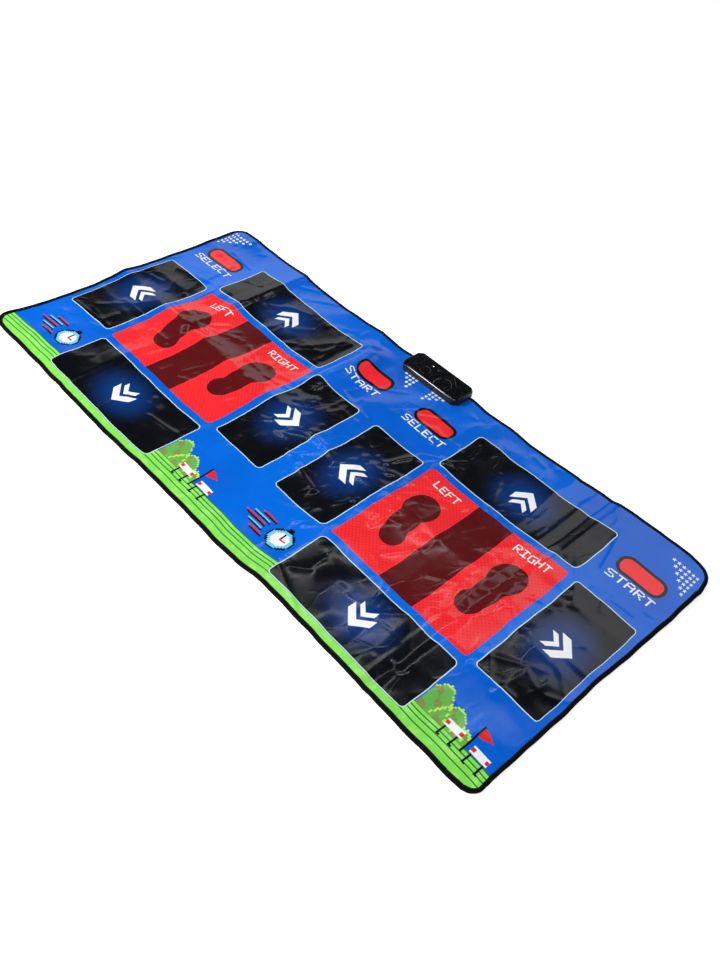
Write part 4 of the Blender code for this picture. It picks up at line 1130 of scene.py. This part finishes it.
# %% Inks and decals
INK_GAP, INK_THICKNESS = 0.00012, 0.0001
INK_BASE = SHEET_TOP + INK_GAP
INK_TOP = INK_BASE + INK_THICKNESS
GLYPHS = {
    "C": (".####", "#....", "#....", "#....", "#....", "#....", ".####"),
    "E": ("#####", "#....", "#....", "####.", "#....", "#....", "#####"),
    "F": ("#####", "#....", "#....", "####.", "#....", "#....", "#...."),
    "G": (".####", "#....", "#....", "#..##", "#...#", "#...#", ".####"),
    "H": ("#...#", "#...#", "#...#", "#####", "#...#", "#...#", "#...#"),
    "I": ("#####", "..#..", "..#..", "..#..", "..#..", "..#..", "#####"),
    "L": ("#....", "#....", "#....", "#....", "#....", "#....", "#####"),
    "R": ("####.", "#...#", "#...#", "####.", "#.#..", "#..#.", "#...#"),
    "S": (".####", "#....", "#....", ".###.", "....#", "....#", "####."),
    "T": ("#####", "..#..", "..#..", "..#..", "..#..", "..#..", "..#.."),
    "A": (".###.", "#...#", "#...#", "#####", "#...#", "#...#", "#...#"),
}


def make_ink(name, colour, worn):
    """Return printed ink: one colour, a little thin in places, with the vinyl's own gloss."""
    return make_vinyl(name, lambda place: over(ramp(noise(place, 260.0), 0.55, 0.85), worn, colour))


INKS = {
    "#": make_ink("white_ink", WHITE_INK, srgb(206, 216, 232)),
    "g": make_ink("grass_ink", srgb(104, 184, 82), srgb(88, 166, 72)),
    "o": make_ink("olive_ink", srgb(134, 146, 80), srgb(116, 128, 66)),
    "y": make_ink("straw_ink", srgb(186, 236, 92), srgb(164, 214, 80)),
    "r": make_ink("red_ink", srgb(226, 44, 50), srgb(196, 34, 40)),
    "c": make_ink("sky_ink", srgb(120, 206, 236), srgb(96, 184, 220)),
    "k": make_ink("black_ink", srgb(16, 16, 20), srgb(30, 30, 36)),
}


def lay_decal(name, rows, low, high, body):
    """Print a pattern of marks between two corners, one cell for each mark."""
    columns = len(rows[0])
    used = sorted({mark for row in rows for mark in row if mark != "."})
    xs = np.linspace(low[0], high[0], columns + 1)
    ys = np.linspace(low[1], high[1], len(rows) + 1)
    made = grid(xs, ys)
    blank = []
    for face in made.faces:
        centre = face.calc_center_median()
        column = int((centre.x - low[0]) / (high[0] - low[0]) * columns)
        row = int((high[1] - centre.y) / (high[1] - low[1]) * len(rows))
        mark = rows[row][column]
        if mark == ".":
            blank.append(face)
        else:
            face.material_index = used.index(mark)
    bmesh.ops.delete(made, geom=blank, context="FACES")
    thicken(made, INK_BASE, INK_TOP)
    decal = lay(name, made, *[INKS[mark] for mark in used], is_ink=True)
    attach(decal, body)


def word_rows(word):
    """Return the raster of a word, with one empty column between letters."""
    return [".".join(GLYPHS[letter][row] for letter in word) for row in range(7)]


WORD_HEIGHT = 0.022
# Word, switch, what carries it, width, and rise above the middle of the switch
WORDS = (
    ("SELECT", "select", "panel", 0.133, -0.0430),
    ("START", "start", "panel", 0.118, -0.0440),
    ("LEFT", "foot_left", "pad", 0.075, 0.1300),
    ("RIGHT", "foot_right", "pad", 0.092, 0.1300),
)


def body_under(x):
    """Return the panel that a place on the sheet belongs to."""
    return "mat_centre" if abs(x) < FOLD_IN else ("left_panel" if x < 0 else "right_panel")


for player in ("p1", "p2"):
    for word, pad, carrier, width, rise in WORDS:
        centre = middle(PADS[f"{player}_{pad}"])
        body = f"{player}_{pad}" if carrier == "pad" else body_under(centre.x)
        low = (centre.x - width / 2, centre.y + rise - WORD_HEIGHT / 2)
        high = (centre.x + width / 2, centre.y + rise + WORD_HEIGHT / 2)
        lay_decal(f"{player}_{pad}_legend", word_rows(word), low, high, body)
print("legends:", 2 * len(WORDS))

# %% Triangles of dots
SPOT_SPACING, NOTCH_SPACING = 0.0130, 0.0118
SPOT_RADIUS, STAR_RADIUS, STAR_NECK = 0.0040, 0.0058, 0.42
# Name, corner, signed spacing, rows, body, and whether the spots are stars
TRIANGLES = (
    ("left_corner_dots", (-0.799, 0.357), SPOT_SPACING, 6, "left_panel", False),
    ("right_corner_stars", (0.795, 0.346), -SPOT_SPACING, 6, "right_panel", True),
    ("left_notch_dots", (-0.0325, 0.3235), -NOTCH_SPACING, 4, "mat_centre", False),
    ("right_notch_stars", (0.0245, 0.3235), NOTCH_SPACING, 4, "mat_centre", True),
)


def add_spot(made, x, y, is_star):
    """Add a disc or a star as one flat face."""
    place = Matrix.Translation((x, y, 0.0))
    radius = STAR_RADIUS if is_star else SPOT_RADIUS
    ring = bmesh.ops.create_circle(made, cap_ends=True, segments=10, radius=radius, matrix=place)["verts"]
    if is_star:
        for vert in ring[1::2]:
            vert.co = Vector((x, y, 0.0)).lerp(vert.co, STAR_NECK)


def lay_triangle(name, corner, step, rows, body, is_star):
    """Print a triangle of spots: each row goes on from the corner and is one shorter."""
    made = bmesh.new()
    for row in range(rows):
        for column in range(rows - row):
            add_spot(made, corner[0] + column * step, corner[1] - row * abs(step), is_star)
    thicken(made, INK_BASE, INK_TOP)
    spots = lay(name, made, INKS["#"], is_ink=True)
    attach(spots, body)


for triangle in TRIANGLES:
    lay_triangle(*triangle)
print("triangles:", len(TRIANGLES))

# %% [markdown]
# Each player's corner also has two small pictures in block style. They are things of a
# running track: round hills with hurdles and a pennant before them, and a stopwatch with
# speed lines. A few lines of code draw them on a raster, one mark for each cell.

# %% Pictures in block style
PICTURE_CELL = 0.0042
HILLS = ((5, 10, 19), (16, 10, 14), (24, 6, 8))
SPEED_LINES = ((2, 7, 17, "r"), (5, 3, 15, "c"), (8, 0, 14, "r"), (11, 5, 15, "c"), (14, 9, 18, "r"))
DIAL = (26, 9, 7)
HURDLE = (
    "##########",
    "rr######rr",
    "rr######rr",
    "##########",
    *(".k......k.",) * 5,
    ".kk.....kk",
)
PENNANT = (
    "k........",
    "krrr.....",
    "krrrrr...",
    "krrrrrrr.",
    "krrrrr...",
    "krrr.....",
    *("k",) * 11,
)


def blank_raster(columns, rows):
    """Return rows of empty cells."""
    return [["."] * columns for _ in range(rows)]


def hill_raster(columns=28, rows=19):
    """Return round hills with a straw rim and patches of green and olive."""
    marks = blank_raster(columns, rows)
    for column in range(columns):
        heights = [height * (1.0 - ((column - centre) / half) ** 2) for centre, half, height in HILLS]
        for level in range(max(int(max(heights)), 0)):
            near_rim = any(0 < height - level < 2.2 for height in heights)
            patch = "o" if (column // 5 + (level + column // 2) // 4) % 3 == 0 else "g"
            marks[rows - 1 - level][column] = "y" if near_rim else patch
    return marks


def stopwatch_raster(columns=34, rows=17):
    """Return a stopwatch at one end of a few speed lines with a shadow."""
    marks = blank_raster(columns, rows)
    for top, start, end, ink in SPEED_LINES:
        for column in range(start, end):
            marks[top][column] = ink
            marks[top + 1][column + 1] = "k"
    middle_x, middle_y, radius = DIAL
    for row in range(rows):
        for column in range(columns):
            reach = math.hypot(column - middle_x, row - middle_y)
            if reach < radius + 0.5:
                marks[row][column] = "k" if reach > radius - 0.6 else ("c" if reach > radius - 2.2 else "#")
    for step in range(5):
        marks[middle_y - step][middle_x] = "k"
    for step in range(4):
        marks[middle_y][middle_x + step] = "r"
    for column in range(middle_x - 1, middle_x + 2):
        marks[0][column] = marks[1][column] = "k"
    return marks


def track_raster(columns=42, rows=24):
    """Return the hills with two hurdles and a pennant beside them."""
    marks = blank_raster(columns, rows)
    places = ((hill_raster(), 0, 5), (HURDLE, 15, 1), (PENNANT, 28, 3), (HURDLE, 31, 0))
    for picture, column, from_foot in places:
        top = rows - len(picture) - from_foot
        for down, line in enumerate(picture):
            for across, mark in enumerate(line):
                if mark != ".":
                    marks[top + down][column + across] = mark
    return marks


def lay_picture(name, rows, x, y):
    """Print a picture with its lower left corner at a place."""
    width, height = len(rows[0]) * PICTURE_CELL, len(rows) * PICTURE_CELL
    lay_decal(name, rows, (x, y), (x + width, y + height), body_under(x))


HILL_FOOT = STATION_Y + TRACK_EDGE - 5.5 * PICTURE_CELL
HILL_GAP, WATCH_GAP = 0.003, 0.016
for player in ("p1", "p2"):
    low, high = PADS[f"{player}_down"]
    lay_picture(f"{player}_hill_print", track_raster(), high.x + HILL_GAP, HILL_FOOT)
    watch = stopwatch_raster()
    watch_x = low.x - WATCH_GAP - len(watch[0]) * PICTURE_CELL
    lay_picture(f"{player}_stopwatch_print", watch, watch_x, STATION_Y + TRACK_EDGE + WATCH_GAP)
print("pictures: 2 of", len(track_raster()[0]), "and 2 of", len(watch[0]), "cells across")

# %% [markdown]
# The control box is moulded in two halves, with a glossy plate on top. The frame's solids
# already have its ribs and screw posts. A copy of each gets rounded edges, which is what
# shows on a black box: a lit line along each edge. The parts inside keep the frame's
# shape, and all of them get a finish of their own.

# %% Finishes of the control box
POLISH_FROM, POLISH_EASE = BOX_HIGH.z - 0.0026, 0.0004
# Ring scuffs on the top plate: X, Y and radius. The scratch: its line, its middle and its half length
RING_SCUFFS = ((0.031, 0.347, 0.023), (0.026, 0.344, 0.018), (-0.034, 0.352, 0.014))
SCRATCH_SLOPE, SCRATCH_PLACE = 0.82, 0.4165
SCRATCH_X, SCRATCH_HALF = 0.044, 0.012
MARK_HALF = 0.0003


def draw_moulded(place, scale):
    """Return the fine texture and the tone of a moulded or plated part."""
    fine = noise(place, scale)
    broad = noise(place, scale / 24.0, 2.0)
    return fine, ramp(broad * 0.8 + fine * 0.2, 0.3, 0.7)


MOULDED = make_group("moulded surface", {"Place": "Vector", "Scale": "Float"},
                     {"Height": "Float", "Tone": "Float"}, draw_moulded)


def make_hard(name, colour, other, rough, scale, depth=0.00003, **constants):
    """Return a hard material of two close tones with a fine texture."""
    material = new_material(name, **constants)
    height, tone = use_group(MOULDED, object_place(material), scale)
    shade = over(tone, srgb(*other), srgb(*colour))
    return dress(material, shade, ramp(tone, 0.0, 1.0, *rough), height, depth)


def make_cover():
    """Return the cover's black plastic: polished on top and at the rim, satin on its sides."""
    material = new_material("box_satin")
    place = object_place(material)
    texture, tone = use_group(MOULDED, place, 1400.0)
    polish = ramp(split_xyz(place)[2], POLISH_FROM, POLISH_FROM + POLISH_EASE)
    return dress(material, over(tone, srgb(10, 10, 12), srgb(13, 13, 15)),
                 ramp(polish, 0.0, 1.0, 0.50, 0.10) + tone * 0.06, texture, 0.000004)


def make_fascia():
    """Return glossy black plastic with ring scuffs, a straight scratch and hairlines."""
    material = new_material("fascia_gloss", IOR=1.5)
    place = object_place(material)
    x, y, _ = split_xyz(place)
    wobble = (noise(place, 60.0) - 0.5) * 0.004
    offs = [abs(length(join_xyz(x - ring_x, y - ring_y)) + wobble - radius)
            for ring_x, ring_y, radius in RING_SCUFFS]
    rings = largest([inside(off, MARK_HALF, MARK_HALF) for off in offs])
    broken = ramp(noise(place, 75.0, 2.0), 0.46, 0.56)
    line = abs(x * SCRATCH_SLOPE + y - SCRATCH_PLACE)
    scratch = inside(line, MARK_HALF, MARK_HALF) * inside(abs(x - SCRATCH_X), SCRATCH_HALF, 0.002)
    hairs = ramp(noise(place * (0.15, 1.0, 1.0), 900.0, 1.0), 0.66, 0.72) * 0.3
    marks = largest([rings * broken, scratch, hairs])
    return dress(material, over(marks, srgb(112, 114, 118), srgb(7, 8, 10)),
                 ramp(marks, 0.0, 1.0, 0.09, 0.45), noise(place, 30.0, 1.0), 0.0001, 0.3)


def make_light():
    """Return a lit light guide of two close tones."""
    material = new_material("light_guide", Roughness=0.3, Emission_Strength=1.6)
    _, tone = use_group(MOULDED, object_place(material), 900.0)
    put(shader_input(material, "Emission Color"), over(tone, srgb(255, 255, 255), srgb(228, 236, 248)))
    return dress(material, over(tone, srgb(236, 240, 246), srgb(222, 228, 238)))


FINISHES = {
    "fascia_plastic": make_fascia(),
    "box_plastic": make_cover(),
    "light_plastic": make_light(),
    "button_plastic": make_hard("button_satin", (10, 10, 12), (17, 17, 19), (0.2, 0.35), 1400.0, 0.00004),
    "board_laminate": make_hard("board_mask", (8, 92, 44), (14, 118, 58), (0.3, 0.5), 500.0, 0.00004),
    "chip_resin": make_hard("chip_resin", (18, 18, 20), (28, 28, 30), (0.5, 0.7), 1800.0),
    "connector_plastic": make_hard("connector_ivory", (214, 208, 188), (228, 222, 204), (0.35, 0.5), 900.0),
    "steel": make_hard("plated_steel", (186, 188, 192), (160, 162, 166), (0.22, 0.4), 700.0, Metallic=1.0),
    "battery_jacket": make_hard("battery_jacket", (150, 154, 160), (128, 132, 138), (0.3, 0.45), 600.0,
                                Metallic=0.6),
    "contact_film": make_hard("tail_film", (196, 204, 208), (172, 180, 184), (0.3, 0.45), 400.0),
}
print("finishes:", len(FINISHES))

# %% Rounded copies of the box's parts
BOX_MIDDLE = middle((BOX_LOW, BOX_HIGH))
BOX_HALF = (BOX_HIGH - BOX_LOW) / 2
BOX_CHAMFER = 0.012
# How near the outline an edge is outer, how tall an upright one is, and what counts as the rim
OUTER_REACH, UPRIGHT_RISE = 0.0002, 0.0005
RIM_REACH, TOP_SLACK, RIM_ANGLE = 0.0012, 0.00001, math.radians(40)
HARD_ANGLE = math.radians(18)
SLOTS = {part["node"]: part["material_slot"] for part in frame["record"]["subparts"]}
# Name, node, rounding of the rim and of the corners, inset from the outline, and steps of the rim
ROUNDED = (
    ("rounded_cover", "box_cover", 0.0004, 0.0012, 0.0, 1),
    ("rounded_fascia", "box_fascia", 0.0005, 0.0008, 0.0035, 2),
    ("rounded_base", "box_base", 0.0006, 0.0012, 0.0, 2),
)


def copy_of(node_name):
    """Return a merged copy of a frame node, with its flat faces made whole again."""
    made = bmesh.new()
    made.from_mesh(frame["nodes"][node_name].data)
    bmesh.ops.remove_doubles(made, verts=made.verts[:], dist=WELD)
    bmesh.ops.dissolve_limit(made, angle_limit=math.radians(0.5), verts=made.verts[:], edges=made.edges[:])
    return made


def depth_in_box(point, inset):
    """Return how far a point lies inside the box's outline in plan."""
    x, y = abs(point.x - BOX_MIDDLE.x), abs(point.y - BOX_MIDDLE.y)
    half_x, half_y = BOX_HALF.x - inset, BOX_HALF.y - inset
    slant = (half_x + half_y - BOX_CHAMFER - x - y) / math.sqrt(2)
    return min(half_x - x, half_y - y, slant)


def bevel(made, edges, size, segments):
    """Round some edges."""
    bmesh.ops.bevel(made, geom=edges, offset=size, segments=segments, profile=0.5, affect="EDGES",
                    clamp_overlap=True, material=-1)


def dress_mesh(mesh, material):
    """Give a mesh one material."""
    mesh.materials.clear()
    mesh.materials.append(material)


def rounded_copy(name, node_name, radius, corner, inset, segments):
    """Copy a part of the box and round its upper rim and its upright corners."""
    made = copy_of(node_name)
    top = max(vert.co.z for vert in made.verts)
    upright = [edge for edge in made.edges
               if all(depth_in_box(vert.co, inset) < OUTER_REACH for vert in edge.verts)
               and abs(edge.verts[0].co.z - edge.verts[1].co.z) > UPRIGHT_RISE]
    bevel(made, upright, corner, 3)
    rim = [edge for edge in made.edges
           if all(vert.co.z > top - TOP_SLACK and depth_in_box(vert.co, inset) < RIM_REACH
                  for vert in edge.verts) and edge.calc_face_angle(0.0) > RIM_ANGLE]
    bevel(made, rim, radius, segments)
    mesh = mesh_of(name, made)
    mesh.shade_smooth()
    mesh.set_sharp_from_angle(angle=HARD_ANGLE)
    slot = SLOTS[node_name]
    dress_mesh(mesh, FINISHES[slot])
    piece = add_object(name, mesh)
    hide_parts(node_name)
    print(name, "faces:", len(mesh.polygons))
    return piece


for values in ROUNDED:
    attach(rounded_copy(*values), "mat_centre")

# %% Give the other nodes of the box their finish
for node_name, part in frame["nodes"].items():
    finish = FINISHES.get(SLOTS[node_name])
    if finish and not part.hide_render:
        dress_mesh(part.data, finish)
print("finished nodes:", sum(not part.hide_render for part in frame["nodes"].values()))

# %% [markdown]
# The floor is a pale plane. White comes from its own colour, with a little glow for the
# camera alone, so it keeps the mat's shadow. A large low soft box behind the far left
# corner gives the grey sheen that the vinyl shows there, and the lamps overhead are soft.

# %% Floor, lamps and world
FLOOR_SIZE = 12.0
FLOOR_GLOW = 0.62
WORLD_GLOW = 0.03
WHITE = (1.0, 1.0, 1.0, 1.0)
# Name, place, target, width, depth and power
LAMPS = (
    ("key", (-1.88, -2.25, 2.5), (0.0, 0.0, 0.0), 1.1, 1.1, 132.0),
    ("overhead", (1.2, -1.4, 3.2), (0.0, 0.0, 0.0), 1.6, 1.6, 44.0),
    ("far_right_window", (0.55, 2.55, 2.6), (0.55, 0.0, 0.0), 1.95, 1.6, 11.0),
    ("far_strip", (-1.5, 0.8, 3.2), (-0.4, 0.0, 0.0), 3.4, 0.12, 8.0),
    ("far_panel", (-2.4, 3.7, 2.0), (0.0, 0.0, 0.2), 6.0, 1.65, 27.0),
)


def make_floor():
    """Make a pale floor that stays white in the open and keeps the shadow."""
    made = bmesh.new()
    bmesh.ops.create_grid(made, x_segments=1, y_segments=1, size=FLOOR_SIZE)
    mesh = mesh_of("floor", made)
    floor = add_object("floor", mesh)
    material = new_material("floor_paper", Base_Color=srgb(240, 240, 240), Roughness=0.9,
                            Specular_IOR_Level=0.1, Emission_Color=WHITE)
    path = node(material.node_tree, "ShaderNodeLightPath").outputs
    shown = largest([Value(path[f"Is {kind} Ray"]) for kind in ("Camera", "Glossy", "Transmission")])
    put(shader_input(material, "Emission Strength"), shown * FLOOR_GLOW)
    dress_mesh(mesh, material)


def add_lamp(name, place, target, width, depth, power):
    """Add a rectangular soft lamp that faces a target."""
    lamp = bpy.data.lights.new(name, "AREA")
    lamp.shape = "RECTANGLE"
    lamp.size, lamp.size_y, lamp.energy = width, depth, power
    holder = add_object(name, lamp)
    holder.location = place
    holder.rotation_euler = (Vector(target) - Vector(place)).to_track_quat("-Z", "Y").to_euler()


make_floor()
world = bpy.data.worlds.new("studio")
world.use_nodes = True
backdrop = world.node_tree.nodes["Background"].inputs
backdrop["Color"].default_value = WHITE
backdrop["Strength"].default_value = WORLD_GLOW
bpy.context.scene.world = world
for lamp in LAMPS:
    add_lamp(*lamp)
print("lamps:", [light.name for light in bpy.data.lights])

# %% [markdown]
# The camera stands where the photographer stood, off the near right corner and looking
# down at the mat. Its place was worked out from the corners of the printed pads.

# %% Camera
CAMERA_PLACE = (1.1325, -1.2376, 1.5913)
CAMERA_FORWARD = Vector((-0.44792, 0.54091, -0.71189)).normalized()
CAMERA_UP = Vector((-0.57824, 0.43202, 0.69209))
CAMERA_LENS, CAMERA_SENSOR = 37.07, 36.0

camera = add_object("camera", bpy.data.cameras.new("camera"))
right = CAMERA_FORWARD.cross(CAMERA_UP).normalized()
up = right.cross(CAMERA_FORWARD)
turn = Matrix((right, up, -CAMERA_FORWARD)).transposed()
camera.matrix_world = Matrix.Translation(CAMERA_PLACE) @ turn.to_4x4()
camera.data.lens = CAMERA_LENS
camera.data.sensor_width = CAMERA_SENSOR
bpy.context.scene.camera = camera
bpy.context.scene.view_settings.view_transform = "Standard"
